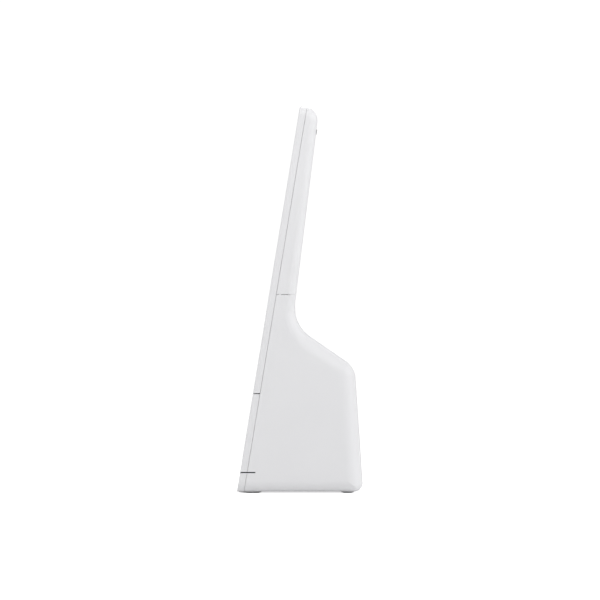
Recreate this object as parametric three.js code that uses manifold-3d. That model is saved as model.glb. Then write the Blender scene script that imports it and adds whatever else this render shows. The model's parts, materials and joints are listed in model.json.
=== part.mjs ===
// Table-standing indoor station of a video doorbell.
// A thin display slab leans back and grows out of a thick rear base that holds the speaker.
// Millimetres, +Z up, the display faces -Y. The origin is on the table, under the middle.

import * as THREE from 'three';
import { mergeVertices } from 'three/addons/utils/BufferGeometryUtils.js';
import Module from 'manifold-3d';

const wasm = await Module();
wasm.setup();

// ---------------------------------------------------------------------------------------------
// Driving dimensions
// ---------------------------------------------------------------------------------------------

const WIDTH = 124;
const HEIGHT = 230;
const LEAN = THREE.MathUtils.degToRad(9.3);
const TOE_Y = -37.8; // where the plane of the front face meets the table
const UNDERSIDE = 1.1; // height of the housing's underside above the table

const WALL = 2.2; // thickness of the rear mouldings
const FRONT_SHELL = 4.2; // thickness of the front mouldings
const GAP = 0.3; // gap between mouldings that meet
const FRONT_EDGE = 1.2; // rounding of the front edges

const COVER_SEAM_Z = 118.3; // horizontal seam between upper rear cover and base housing
const PLATE_SPLIT = 59.4; // level split of the front mouldings
const SLOT_Z = 12.55; // middle of the light slot
const SLOT_HEIGHT = 0.7;
const SLOT_END_Y = -26.5; // how far back the slot runs along both sides

// Side outline of the whole body, as [y, z, corner radius, softening of the edge that follows].
// It runs from the front toe along the underside, up the rear and back over the top. The front is
// drawn 12 mm too far forward, and is cut back to the leaning face.
const FRONT_EXCESS = 12;
const TOP_EXCESS = 1.2;
const HEEL = [37.8, UNDERSIDE];
const SHOULDER = [32.8, 74.6];
const REAR_SLOPE = Math.atan2(HEEL[0] - SHOULDER[0], SHOULDER[1] - HEEL[1]);
const SIDE_OUTLINE = [
  [TOE_Y - FRONT_EXCESS, UNDERSIDE, 0, 7],
  [...HEEL, 5, 10],
  [...SHOULDER, 11.5, 9],
  [-2.9, 99.1, 21.5, 6.5],
  [-2.9, 113.4, 10, 5.5],
  [11.4, 229.1, 8, 5.5],
  [-FRONT_EXCESS, HEIGHT + TOP_EXCESS, 0, 5.5],
];
const OUTER_STEPS = 5; // facets across a softened edge
const ARC_STEP = 0.22; // turn of one facet along the outline, in radians
const SMALLEST_RADIUS = 0.2;

const GLASS = { halfWidth: 56, bottom: 67, top: 228.5, thickness: 1.1, corner: 5 };
const DISPLAY = { halfWidth: 46.3, bottom: 71.5, top: 216.9 };
const GLASS_SEAT = 1.6; // depth of the glass seat below the front face
const LENS = { x: 0, z: 222.6, radius: 2.7 };
const SHUTTER = { bladeX: [5.5, 14.5], knobX: [6, 14], z: [219.4, 226.4], knobTop: 222.4, travel: 10 };
const SHUTTER_PLAY = 0.6;

const KEY = { z: 47.5, pitch: 24, radius: 5.5 };
const KEY_NAMES = ['view_key', 'answer_key', 'unlock_key', 'end_key'];
const MIC = { x: 0, z: 57.2 };
const SPEAKER_Z = 28;

const SCREW_X = 46;
const BASE_SCREW_Y = [-14, 18];
const PORT_Z = 16; // height of the power inlet on the rear wall

// ---------------------------------------------------------------------------------------------
// Frames: the leaning face (x across, y into the body, z up the face) and the rear wall's port
// ---------------------------------------------------------------------------------------------

const station = new THREE.Group();

const face = new THREE.Group();
face.position.set(0, TOE_Y, 0);
face.rotation.x = -LEAN;
face.updateMatrix();
station.add(face);

const port = new THREE.Group();
port.position.set(0, HEEL[0] - (PORT_Z - HEEL[1]) * Math.tan(REAR_SLOPE), PORT_Z);
port.rotation.x = REAR_SLOPE;
port.updateMatrix();
station.add(port);

// ---------------------------------------------------------------------------------------------
// Shape helpers
// ---------------------------------------------------------------------------------------------

const MERGE_DISTANCE = 1e-4;

function solid(geometry) {
  const bare = new THREE.BufferGeometry();
  bare.setAttribute('position', geometry.getAttribute('position').clone());
  if (geometry.index) bare.setIndex(geometry.index.clone());
  const merged = mergeVertices(bare, MERGE_DISTANCE);
  return new wasm.Manifold(new wasm.Mesh({
    numProp: 3,
    vertProperties: new Float32Array(merged.getAttribute('position').array),
    triVerts: new Uint32Array(merged.index.array),
  }));
}

function toGeometry(manifold) {
  const mesh = manifold.getMesh();
  const geometry = new THREE.BufferGeometry();
  geometry.setAttribute('position', new THREE.BufferAttribute(mesh.vertProperties, 3));
  geometry.setIndex(new THREE.BufferAttribute(mesh.triVerts, 1));
  geometry.computeVertexNormals();
  return geometry;
}

function cut(base, ...tools) {
  return toGeometry(tools.reduce((rest, tool) => rest.subtract(solid(tool)), solid(base)));
}

function keep(base, ...tools) {
  return toGeometry(tools.reduce((rest, tool) => rest.intersect(solid(tool)), solid(base)));
}

function join(base, ...tools) {
  return toGeometry(tools.reduce((sum, tool) => sum.add(solid(tool)), solid(base)));
}

function block([x0, x1], [y0, y1], [z0, z1]) {
  const geometry = new THREE.BoxGeometry(x1 - x0, y1 - y0, z1 - z0);
  return geometry.translate((x0 + x1) / 2, (y0 + y1) / 2, (z0 + z1) / 2);
}

// A disc whose axis is the y axis of its frame.
function disc(x, z, radius, [y0, y1], sides = 24) {
  const geometry = new THREE.CylinderGeometry(radius, radius, y1 - y0, sides);
  return geometry.translate(x, (y0 + y1) / 2, z);
}

function post(x, y, radius, [z0, z1], sides = 16) {
  const geometry = new THREE.CylinderGeometry(radius, radius, z1 - z0, sides);
  return geometry.rotateX(Math.PI / 2).translate(x, y, (z0 + z1) / 2);
}

function roundedShape(x0, x1, z0, z1, radius) {
  const shape = new THREE.Shape();
  shape.moveTo(x0 + radius, z0);
  shape.lineTo(x1 - radius, z0);
  shape.absarc(x1 - radius, z0 + radius, radius, -Math.PI / 2, 0);
  shape.lineTo(x1, z1 - radius);
  shape.absarc(x1 - radius, z1 - radius, radius, 0, Math.PI / 2);
  shape.lineTo(x0 + radius, z1);
  shape.absarc(x0 + radius, z1 - radius, radius, Math.PI / 2, Math.PI);
  shape.lineTo(x0, z0 + radius);
  shape.absarc(x0 + radius, z0 + radius, radius, Math.PI, 1.5 * Math.PI);
  return shape;
}

// A plate with rounded corners that lies in the face, between two depths.
function plate([x0, x1], [y0, y1], [z0, z1], radius, curveSegments = 2) {
  const shape = roundedShape(x0, x1, z0, z1, radius);
  const depth = y1 - y0;
  const geometry = new THREE.ExtrudeGeometry(shape, { depth, bevelEnabled: false, curveSegments });
  return geometry.rotateX(Math.PI / 2).translate(0, y1, 0);
}

// The same, lying flat on the table, between two heights.
function tile([x0, x1], [y0, y1], [z0, z1], radius, curveSegments = 2) {
  const shape = roundedShape(x0, x1, y0, y1, radius);
  const depth = z1 - z0;
  const geometry = new THREE.ExtrudeGeometry(shape, { depth, bevelEnabled: false, curveSegments });
  return geometry.translate(0, 0, z0);
}

// A bar with a constant [y, z] section along x.
function bar(section, [x0, x1]) {
  const shape = new THREE.Shape(section.map(([y, z]) => new THREE.Vector2(y, z)));
  const geometry = new THREE.ExtrudeGeometry(shape, { depth: x1 - x0, bevelEnabled: false });
  const turn = new THREE.Matrix4().set(0, 0, 1, x0, 1, 0, 0, 0, 0, 1, 0, 0, 0, 0, 0, 1);
  return geometry.applyMatrix4(turn);
}

function wire(points, radius, steps) {
  const path = new THREE.CatmullRomCurve3(points.map((p) => new THREE.Vector3(...p)));
  const section = new THREE.Shape().absarc(0, 0, radius, 0, 2 * Math.PI);
  return new THREE.ExtrudeGeometry(section, { extrudePath: path, steps, curveSegments: 4 });
}

function revolved(profile, x, z, segments = 20) {
  const points = profile.map(([radius, y]) => new THREE.Vector2(radius, y));
  return new THREE.LatheGeometry(points, segments).translate(x, 0, z);
}

function inFace(geometry) {
  return geometry.applyMatrix4(face.matrix);
}

function inPort(geometry) {
  return geometry.applyMatrix4(port.matrix);
}

function add(parent, name, geometry, material) {
  const mesh = new THREE.Mesh(geometry, material);
  mesh.name = name;
  parent.add(mesh);
}

// ---------------------------------------------------------------------------------------------
// Body block: the side outline carried across the width, with its long edges softened. Every edge
// of the outline has its own softening radius, and each ring moves it in along a quarter circle.
// ---------------------------------------------------------------------------------------------

function ringOutline(corners, angle, halfWidth) {
  const count = corners.length;
  const edges = corners.map(([y, z, , softening], i) => {
    const [nextY, nextZ] = corners[(i + 1) % count];
    const along = new THREE.Vector2(nextY - y, nextZ - z).normalize();
    const inward = new THREE.Vector2(-along.y, along.x);
    const inset = softening * (1 - Math.cos(angle));
    const start = new THREE.Vector2(y, z).addScaledVector(inward, inset);
    return { along, inward, inset, start, x: halfWidth - softening * (1 - Math.sin(angle)) };
  });
  const ring = [];
  corners.forEach(([, , radius], i) => {
    const before = edges[(i + count - 1) % count];
    const after = edges[i];
    const turn = Math.atan2(before.along.cross(after.along), before.along.dot(after.along));
    const step = after.start.clone().sub(before.start).cross(after.along);
    const corner = before.start.clone()
      .addScaledVector(before.along, step / before.along.cross(after.along));
    if (radius === 0) {
      ring.push([before.x, corner.x, corner.y]);
      return;
    }
    const side = Math.sign(turn);
    const meanInset = (before.inset + after.inset) / 2;
    const arcRadius = Math.max(radius - side * meanInset, SMALLEST_RADIUS);
    const tangent = arcRadius * Math.tan(Math.abs(turn) / 2);
    const start = corner.clone().addScaledVector(before.along, -tangent);
    const centre = start.clone().addScaledVector(before.inward, side * arcRadius);
    const pieces = Math.ceil(Math.abs(turn) / ARC_STEP);
    for (let j = 0; j <= pieces; j += 1) {
      const point = start.clone().rotateAround(centre, turn * j / pieces);
      ring.push([THREE.MathUtils.lerp(before.x, after.x, j / pieces), point.x, point.y]);
    }
  });
  return ring;
}

function bodyBlock(corners, halfWidth, steps) {
  const rings = [];
  for (let i = 0; i <= steps; i += 1) {
    rings.push(ringOutline(corners, Math.PI / 2 * i / steps, halfWidth));
  }
  const mirrored = rings.map((ring) => ring.map(([x, y, z]) => [-x, y, z])).reverse();
  const all = [...mirrored, ...rings];
  const perRing = rings[0].length;
  const index = [];
  for (let r = 0; r < all.length - 1; r += 1) {
    for (let j = 0; j < perRing; j += 1) {
      const a = r * perRing + j;
      const b = r * perRing + (j + 1) % perRing;
      index.push(a, b, b + perRing, a, b + perRing, a + perRing);
    }
  }
  const contour = rings[steps].map(([, y, z]) => new THREE.Vector2(y, z));
  const last = (all.length - 1) * perRing;
  for (const [a, b, c] of THREE.ShapeUtils.triangulateShape(contour, [])) {
    index.push(c, b, a, last + a, last + b, last + c);
  }
  const geometry = new THREE.BufferGeometry();
  geometry.setAttribute('position', new THREE.Float32BufferAttribute(all.flat(2), 3));
  geometry.setIndex(index);
  return geometry;
}

// The outline moved in by a distance: each corner goes to where the moved edges meet.
function insetCorners(corners, distance) {
  const count = corners.length;
  return corners.map(([y, z, radius, softening], i) => {
    const [lastY, lastZ] = corners[(i + count - 1) % count];
    const [nextY, nextZ] = corners[(i + 1) % count];
    const before = new THREE.Vector2(y - lastY, z - lastZ).normalize();
    const after = new THREE.Vector2(nextY - y, nextZ - z).normalize();
    const turn = before.cross(after);
    const shift = distance / (1 + before.dot(after));
    const moved = new THREE.Vector2(y, z)
      .add(new THREE.Vector2(-before.y - after.y, before.x + after.x).multiplyScalar(shift));
    const bent = Math.max(radius - Math.sign(turn) * distance, SMALLEST_RADIUS);
    const kept = radius === 0 ? 0 : bent;
    return [moved.x, moved.y, kept, softening - distance];
  });
}

const outerBlock = bodyBlock(SIDE_OUTLINE, WIDTH / 2, OUTER_STEPS);
const innerBlock = bodyBlock(insetCorners(SIDE_OUTLINE, WALL), WIDTH / 2 - WALL, OUTER_STEPS - 1);

const FAR = 200;
const WIDE = [-FAR, FAR];
const FACE_TOP = HEIGHT / Math.cos(LEAN);
const behindSeam = inFace(block(WIDE, [FRONT_SHELL + GAP, FAR], WIDE.map((v) => v * 2)));

const FACE_CORNER = 5.5;
const FACE_EXCESS = 0.1; // the layer is drawn a little too wide and is cut back to the block

// The front layer, with its front edges rounded.
function frontLayer() {
  const half = WIDTH / 2 + FACE_EXCESS - FRONT_EDGE;
  const low = 2 * FACE_EXCESS + FRONT_EDGE;
  const high = FACE_TOP + GAP - FRONT_EDGE;
  const shape = roundedShape(-half, half, low, high, FACE_CORNER - FRONT_EDGE);
  const geometry = new THREE.ExtrudeGeometry(shape, {
    depth: FRONT_SHELL - FRONT_EDGE,
    bevelSize: FRONT_EDGE,
    bevelThickness: FRONT_EDGE,
    bevelSegments: 3,
    curveSegments: 4,
  });
  geometry.rotateX(Math.PI / 2).translate(0, FRONT_SHELL, 0);
  const rearTrim = block(WIDE, [-FAR, FRONT_SHELL], [-FAR, 2 * FAR]);
  const outerInFace = outerBlock.clone().applyMatrix4(face.matrix.clone().invert());
  return keep(geometry, rearTrim, outerInFace);
}

// A level slice of the world, seen from the face's frame.
function levelSlice(z0, z1) {
  const slice = block(WIDE, WIDE, [z0, z1]);
  return slice.applyMatrix4(face.matrix.clone().invert());
}

// ---------------------------------------------------------------------------------------------
// Materials
// ---------------------------------------------------------------------------------------------

function material(color, roughness, metalness = 0) {
  return new THREE.MeshStandardMaterial({ color, roughness, metalness });
}

const whitePlastic = material(0xe9e9ea, 0.5);
const greyPlastic = material(0x55585c, 0.55);
const darkPlastic = material(0x2a2b2e, 0.5);
const blackPlastic = material(0x151618, 0.45);
const smokedPlastic = material(0x1b1d20, 0.2);
const rubber = material(0xa2a3a5, 0.8);
const blackRubber = material(0x1d1d1e, 0.85);
const glass = material(0x0c0d10, 0.08);
const panel = material(0x15171c, 0.3);
const steel = material(0xb4b6b9, 0.35, 0.9);
const aluminium = material(0xc9cbce, 0.4, 0.9);
const boardGreen = material(0x1f5a3c, 0.5);
const foil = material(0x3a7bb0, 0.4);
const flexAmber = material(0xb4762b, 0.4);
const paperCone = material(0x2c2c2d, 0.9);

// ---------------------------------------------------------------------------------------------
// Front mouldings
// ---------------------------------------------------------------------------------------------

const THROUGH_FRONT = [-1, FRONT_SHELL + 1];
const BRACKET_SCREWS = [[-51, 70], [51, 70], [-51, 213], [51, 213]];
const BRACKET_PILOT = { radius: 1.05, depth: [2, FRONT_SHELL + 1] };
const WINDOW_PLAY = 0.5;

// The width that a piece of the shutter needs to slide in.
function slideRoom([x0, x1]) {
  return [x0 - SHUTTER.travel - SHUTTER_PLAY, x1 + SHUTTER_PLAY];
}

function frontFrame(layer) {
  const above = levelSlice(PLATE_SPLIT + GAP / 2, 2 * FAR);
  const seat = plate(
    [-GLASS.halfWidth - GAP, GLASS.halfWidth + GAP],
    [THROUGH_FRONT[0], GLASS_SEAT],
    [GLASS.bottom - GAP, GLASS.top + GAP],
    GLASS.corner + GAP,
  );
  const window = block(
    [-DISPLAY.halfWidth - WINDOW_PLAY, DISPLAY.halfWidth + WINDOW_PLAY],
    THROUGH_FRONT,
    [DISPLAY.bottom - WINDOW_PLAY, DISPLAY.top + WINDOW_PLAY],
  );
  const pocketZ = [SHUTTER.z[0] - SHUTTER_PLAY, SHUTTER.z[1] + SHUTTER_PLAY];
  const pocket = block(slideRoom(SHUTTER.bladeX), THROUGH_FRONT, pocketZ);
  const { radius, depth } = BRACKET_PILOT;
  const screwHoles = BRACKET_SCREWS.map(([x, z]) => disc(x, z, radius, depth, 12));
  return cut(keep(layer, above), seat, window, pocket, ...screwHoles);
}

function stadium(halfLength, radius, [y0, y1], z) {
  return plate([-halfLength, halfLength], [y0, y1], [z - radius, z + radius], radius, 3);
}

const GRILLE = { slots: 5, pitch: 3.4, halfLength: 25, halfHeight: 0.75 };
const MIC_HOLE = 0.6;

function lowerFrontPlate(layer) {
  const below = levelSlice(-FAR, PLATE_SPLIT - GAP / 2);
  const aboveSlot = levelSlice(SLOT_Z + SLOT_HEIGHT / 2, FAR);
  const keyHole = KEY.radius + GAP;
  const keyHoles = KEY_NAMES.map((_, i) => disc(keyX(i), KEY.z, keyHole, THROUGH_FRONT));
  const grille = [];
  for (let i = 0; i < GRILLE.slots; i += 1) {
    const z = SPEAKER_Z + (i - (GRILLE.slots - 1) / 2) * GRILLE.pitch;
    grille.push(stadium(GRILLE.halfLength, GRILLE.halfHeight, THROUGH_FRONT, z));
  }
  const micHole = disc(MIC.x, MIC.z, MIC_HOLE, THROUGH_FRONT, 12);
  return cut(keep(layer, below, aboveSlot), ...keyHoles, ...grille, micHole);
}

function chinStrip(layer) {
  return keep(layer, levelSlice(-FAR, SLOT_Z - SLOT_HEIGHT / 2));
}

// ---------------------------------------------------------------------------------------------
// Display, glass and camera
// ---------------------------------------------------------------------------------------------

const GLASS_SET_BACK = 0.05;
const TAPE = {
  depth: [1.22, 1.52], halfWidth: 55.5, z: [67.5, 228.4], corner: 4.5, band: 5.5, openZ: [71, 227],
};
const PANEL_DEPTH = [1.4, 3.9];

function coverGlass() {
  return plate(
    [-GLASS.halfWidth, GLASS.halfWidth],
    [GLASS_SET_BACK, GLASS_SET_BACK + GLASS.thickness],
    [GLASS.bottom, GLASS.top],
    GLASS.corner,
  );
}

// A ring with narrower bands at the top and the bottom than at the sides.
function glassTape() {
  const { depth, halfWidth, z, corner, band, openZ } = TAPE;
  const outer = plate([-halfWidth, halfWidth], depth, z, corner);
  const openHalf = halfWidth - band;
  const opening = block([-openHalf, openHalf], [depth[0] - 1, depth[1] + 1], openZ);
  return cut(outer, opening);
}

function displayPanel() {
  return block(
    [-DISPLAY.halfWidth, DISPLAY.halfWidth],
    PANEL_DEPTH,
    [DISPLAY.bottom, DISPLAY.top],
  );
}

const BRACKET = { depth: [4.6, 5.4], halfWidth: 54.5, z: [66, 217], corner: 3 };
const RELIEF = { x: [[-46, -4], [4, 46]], z: [[84, 136], [152, 206]], corner: 4 };
const THROUGH_BRACKET = [4, 6];
const FLEX_HALF_WIDTH = 10;
const FLEX_NOTCH = { play: 2, z: [60, 79] };
const BRACKET_HOLE = 1.2;

// A steel sheet with four lightening openings and a notch for the display's ribbon.
function displayBracket() {
  const sheet = plate([-BRACKET.halfWidth, BRACKET.halfWidth], BRACKET.depth, BRACKET.z, BRACKET.corner);
  const reliefs = RELIEF.x.flatMap((x) => (
    RELIEF.z.map((z) => plate(x, THROUGH_BRACKET, z, RELIEF.corner))
  ));
  const notchHalf = FLEX_HALF_WIDTH + FLEX_NOTCH.play;
  const flexNotch = block([-notchHalf, notchHalf], THROUGH_BRACKET, FLEX_NOTCH.z);
  const holes = BRACKET_SCREWS.map(([x, z]) => disc(x, z, BRACKET_HOLE, THROUGH_BRACKET, 12));
  return cut(sheet, ...reliefs, flexNotch, ...holes);
}

// Profiles of turned pieces are [radius, depth] pairs.
function bracketScrew([x, z]) {
  const profile = [[0, 2.3], [0.9, 2.3], [0.9, 5.5], [2, 5.5], [2, 6.3], [0, 6.3]];
  return revolved(profile, x, z, 12);
}

const CAMERA = { halfWidth: 3.6, depth: [4.8, 7.4], halfHeight: 2.8 };

function cameraModule() {
  const { halfWidth, depth, halfHeight } = CAMERA;
  return block([-halfWidth, halfWidth], depth, [LENS.z - halfHeight, LENS.z + halfHeight]);
}

function cameraLens() {
  const { x, z, radius } = LENS;
  const profile = [[0, 3], [1.5, 2.8], [radius, 2.6], [radius, 4.5], [0, 4.5]];
  return revolved(profile, x, z);
}

// Blade in front of the lens, web over the camera, knob through the rear cover: one moulding.
function cameraShutter() {
  const { bladeX, knobX, knobTop, z: [bottom, top] } = SHUTTER;
  const sheet = 0.6;
  const [front, back, knobEnd] = [1.7, 8.6, 12.35];
  const blade = block(bladeX, [front, front + sheet], [bottom, top]);
  const web = block(knobX, [front + sheet - 0.1, back], [top - sheet, top]);
  const slide = block(knobX, [back - 0.8, back], [bottom, top - 0.2]);
  const knob = block(knobX, [back - 0.1, knobEnd], [bottom, knobTop]);
  const grooves = [7.6, 9.2, 10.8, 12.4].map((x) => (
    block([x, x + 0.6], [knobEnd - 0.35, knobEnd + 1], [bottom - 1, knobTop + 1])
  ));
  return cut(join(blade, web, slide, knob), ...grooves);
}

// ---------------------------------------------------------------------------------------------
// Keys, microphone and speaker behind the lower front plate
// ---------------------------------------------------------------------------------------------

function keyX(i) {
  return (i - (KEY_NAMES.length - 1) / 2) * KEY.pitch;
}

function pushKey(x) {
  const profile = [
    [0, 0.35], [3.5, 0.25], [5, 0.15], [KEY.radius, 0.5], [KEY.radius, 4.5],
    [6.4, 4.5], [6.4, 5.3], [2.2, 5.3], [2.2, 6.1], [0, 6.1],
  ];
  return revolved(profile, x, KEY.z);
}

const KEY_MAT = { halfWidth: 44, depth: [7.9, 8.5], z: [41.5, 53.5], corner: 2 };
const KEY_BOARD = { halfWidth: 46, depth: [8.8, 10.4], z: [41, 56.5], corner: 1.5 };
const KEY_HEADER = { x: [30, 38], depth: [10, 13], z: [44, 48] };

function keyMat() {
  const sheet = plate([-KEY_MAT.halfWidth, KEY_MAT.halfWidth], KEY_MAT.depth, KEY_MAT.z, KEY_MAT.corner);
  const dome = [[0, 7.2], [2, 7.2], [3.4, 8.1], [0, 8.1]];
  return join(sheet, ...KEY_NAMES.map((_, i) => revolved(dome, keyX(i), KEY.z, 16)));
}

function keyBoard() {
  const { halfWidth, depth, z, corner } = KEY_BOARD;
  const sheet = plate([-halfWidth, halfWidth], depth, z, corner);
  return join(sheet, block(KEY_HEADER.x, KEY_HEADER.depth, KEY_HEADER.z));
}

function micBoot() {
  return revolved([[0.7, 4.5], [2.4, 4.5], [2.4, 6.5], [0.7, 6.5], [0.7, 4.5]], MIC.x, MIC.z, 20);
}

const MIC_BOARD = { halfWidth: 4, depth: [6.8, 7.8], z: [54.4, 60] };

function micBoard() {
  const { halfWidth, depth, z } = MIC_BOARD;
  return block([MIC.x - halfWidth, MIC.x + halfWidth], depth, z);
}

// Half length, half height and depth of the speaker's oval parts.
const GASKET = { outer: [28, 12.3, [4.5, 5.5]], inner: [25, 9.3, [4, 6]] };
const FLANGE = [28, 12, [5.8, 8.3]];
const BASKET = { outer: [24.6, 9.4, [8, 16]], inner: [23.6, 8.4, [5, 14.6]] };
const BASKET_WINDOWS = { x: [[-18, -10], [10, 18]], depth: [9.5, 20] };
const SURROUND = [23.2, 8, [6.2, 7]];
const MAGNET = { radius: 9, depth: [16.3, 23] };
const SPEAKER_BOX = { halfWidth: 36, depth: [8.6, 40], z: [15, 40.6], corner: 3, wall: 2 };
const SPEAKER_MOUTH = [25, 9.8, [8, 12]];

function speakerOval([halfLength, radius, depth]) {
  return stadium(halfLength, radius, depth, SPEAKER_Z);
}

function speakerGasket() {
  return cut(speakerOval(GASKET.outer), speakerOval(GASKET.inner));
}

// Flange, basket walls and a back bridge, with windows in the walls.
function speakerFrame() {
  const inside = speakerOval(BASKET.inner);
  const windows = BASKET_WINDOWS.x.map((x) => block(x, BASKET_WINDOWS.depth, WIDE));
  return cut(join(speakerOval(FLANGE), speakerOval(BASKET.outer)), inside, ...windows);
}

function speakerCone() {
  const dome = revolved([[0, 5.9], [3, 6], [5, 6.4], [5, 8.4], [3, 12], [0, 12]], 0, SPEAKER_Z);
  return join(speakerOval(SURROUND), dome);
}

function speakerMagnet() {
  return disc(0, SPEAKER_Z, MAGNET.radius, MAGNET.depth);
}

function speakerBox() {
  const { halfWidth, depth, z, corner, wall } = SPEAKER_BOX;
  const inner = halfWidth - wall;
  const walls = plate([-halfWidth, halfWidth], depth, z, corner);
  const air = plate(
    [-inner, inner], [depth[0] + wall, depth[1] - wall], [z[0] + wall, z[1] - wall], corner - 1.5,
  );
  return cut(walls, air, speakerOval(SPEAKER_MOUTH));
}

// ---------------------------------------------------------------------------------------------
// Light strip behind the slot
// ---------------------------------------------------------------------------------------------

const GUIDE = { halfWidth: 59.4, y: [-31, -25], band: 2, halfHeight: 1 };
const LIGHT_BOARD = { halfWidth: 30, y: [-28.3, -27.7], z: [10.6, 14.1] };
const LAMPS = { x: [-24, -8, 8, 24], halfWidth: 1, y: [-28.8, -28.2], z: [11.6, 13] };

// A U that runs behind the slot across the front and a little way back on both sides.
function lightGuide() {
  const { halfWidth, y: [front, back], band, halfHeight } = GUIDE;
  const inner = halfWidth - band;
  const outerU = block([-halfWidth, halfWidth], [front, back], [SLOT_Z - halfHeight, SLOT_Z + halfHeight]);
  const innerU = block([-inner, inner], [front + band, back + 1], [SLOT_Z - band, SLOT_Z + band]);
  return cut(outerU, innerU);
}

function lightBoard() {
  const sheet = block([-LIGHT_BOARD.halfWidth, LIGHT_BOARD.halfWidth], LIGHT_BOARD.y, LIGHT_BOARD.z);
  const { halfWidth, y, z } = LAMPS;
  return join(sheet, ...LAMPS.x.map((x) => block([x - halfWidth, x + halfWidth], y, z)));
}

// ---------------------------------------------------------------------------------------------
// Electronics
// ---------------------------------------------------------------------------------------------

const MAIN_BOARD = { halfWidth: 42, depth: [7.2, 8.8], z: [72, 150], corner: 2 };
const CHIP_FOOT = 8.7; // chips start just inside the board, so that they join it
const CHIPS = [
  { x: [-34, -24], top: 10.4, z: [100, 112] }, // processor's memory
  { x: [22, 33], top: 10.2, z: [92, 103] }, // sound amplifier
  { x: [-10, 10], top: 9.5, z: [80.5, 84.5] }, // display connector
  { x: [20, 30], top: 10.8, z: [120, 126] }, // power coil
  { x: [-32, -22], top: 10.8, z: [128, 134] }, // radio
];
const BOARD_SPACERS = [[-38, 76], [38, 76], [-38, 144], [38, 144]];
const SPACER = { radius: 2.2, depth: [5.5, 7.1] };
const SHIELD = { halfWidth: 16, depth: [8.95, 11.2], z: [95, 127], corner: 1.5 };
const SPREADER = { halfWidth: 36, depth: [11.5, 12.1], z: [88, 138], corner: 2 };
const SPREADER_SLOT = { x: [-24, 24], halfWidth: 2, depth: [11, 13], z: [100, 126], corner: 1.5 };

function mainBoard() {
  const { halfWidth, depth, z, corner } = MAIN_BOARD;
  const chips = CHIPS.map((chip) => block(chip.x, [CHIP_FOOT, chip.top], chip.z));
  return join(plate([-halfWidth, halfWidth], depth, z, corner), ...chips);
}

function shieldCan() {
  return plate([-SHIELD.halfWidth, SHIELD.halfWidth], SHIELD.depth, SHIELD.z, SHIELD.corner);
}

function heatSpreader() {
  const half = SPREADER.halfWidth;
  const sheet = plate([-half, half], SPREADER.depth, SPREADER.z, SPREADER.corner);
  const { halfWidth, depth, z, corner } = SPREADER_SLOT;
  const slots = SPREADER_SLOT.x.map((x) => plate([x - halfWidth, x + halfWidth], depth, z, corner));
  return cut(sheet, ...slots);
}

function boardSpacer([x, z]) {
  return disc(x, z, SPACER.radius, SPACER.depth, 12);
}

// Ribbon from the foot of the display, under the board's lower edge, to its connector.
function displayFlex() {
  const section = [
    [4.35, 78], [4.35, 69.2], [10.3, 69.2], [10.3, 80],
    [10, 80], [10, 69.5], [4.65, 69.5], [4.65, 78],
  ];
  return bar(section, [-FLEX_HALF_WIDTH, FLEX_HALF_WIDTH]);
}

const ANTENNA = { x: [22, 52], depth: [9.9, 10.2], z: [192, 206], corner: 1.5 };

// The stretch of x between two distances from the middle, on one side.
function onSide(side, distances) {
  return distances.map((x) => side * x).sort((a, b) => a - b);
}

function wifiAntenna(side) {
  return plate(onSide(side, ANTENNA.x), ANTENNA.depth, ANTENNA.z, ANTENNA.corner);
}

// Two round cells side by side in one wrap.
const CELL_RADIUS = 9.3;
const BATTERY = { y: 20.5, bottom: 24, halfLength: 32.5 };

function batteryPack() {
  const { y, bottom, halfLength } = BATTERY;
  const shape = roundedShape(
    y - CELL_RADIUS, y + CELL_RADIUS, bottom, bottom + 4 * CELL_RADIUS, CELL_RADIUS - 0.01,
  );
  const section = shape.getPoints(6).map((p) => [p.x, p.y]);
  return bar(section.slice(0, -1), [-halfLength, halfLength]);
}

const TRAY = { wall: 1.5, play: 0.4, top: 40, halfLength: 34 };

function batteryTray() {
  const { wall, play, top, halfLength } = TRAY;
  const [front, back] = [BATTERY.y - CELL_RADIUS - play, BATTERY.y + CELL_RADIUS + play];
  const floor = BATTERY.bottom - play;
  const section = [
    [front - wall, top], [front - wall, floor - wall], [back + wall, floor - wall],
    [back + wall, top], [back, top], [back, floor], [front, floor], [front, top],
  ];
  return bar(section, [-halfLength, halfLength]);
}

// Two-core leads: routes in the face's frame, from the speaker and the battery to the board.
const LEAD_RADIUS = 0.8;
const SPEAKER_ROUTE = [[20, 22, 41.7], [21, 20, 48], [24, 15, 60], [26, 11.5, 72], [26, 9.9, 80]];
const BATTERY_ROUTE = [
  [-20, 47.5, 71.6], [-21, 43, 75], [-24, 28, 79], [-27, 15, 81], [-28, 9.9, 82],
];

// ---------------------------------------------------------------------------------------------
// Rear wall: power inlet and pairing button. Here y = 0 is the wall's outer face.
// ---------------------------------------------------------------------------------------------

const PAIRING_X = 16;

const INLET_SHELL = [4.5, 1.6, [-8.4, -0.5]];
const INLET_MOUTH = [4.2, 1.3, [-7, 1]];
const INLET_HOLE = [4.8, 1.9, [-6, 2]];
const TONGUE = { halfWidth: 3.2, depth: [-7.2, -1.5], halfHeight: 0.35 };
const INLET_BOARD = { x: [-12, 24], y: [-10.6, -5.4], z: [-3.6, -2] };
const PAIRING_SWITCH = { halfWidth: 3, y: [-9.4, -5.4], z: [-1.9, 2.4] };
const PAIRING_HOLE = { radius: 2.7, depth: [-6, 2] };

function inletOval([halfWidth, halfHeight, depth]) {
  return stadium(halfWidth, halfHeight - 0.05, depth, 0);
}

// Oval metal shell round a mouth, with the contact tongue standing in it.
function powerInlet() {
  const { halfWidth, depth, halfHeight } = TONGUE;
  const tongue = block([-halfWidth, halfWidth], depth, [-halfHeight, halfHeight]);
  return join(cut(inletOval(INLET_SHELL), inletOval(INLET_MOUTH)), tongue);
}

function inletBoard() {
  return block(INLET_BOARD.x, INLET_BOARD.y, INLET_BOARD.z);
}

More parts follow.
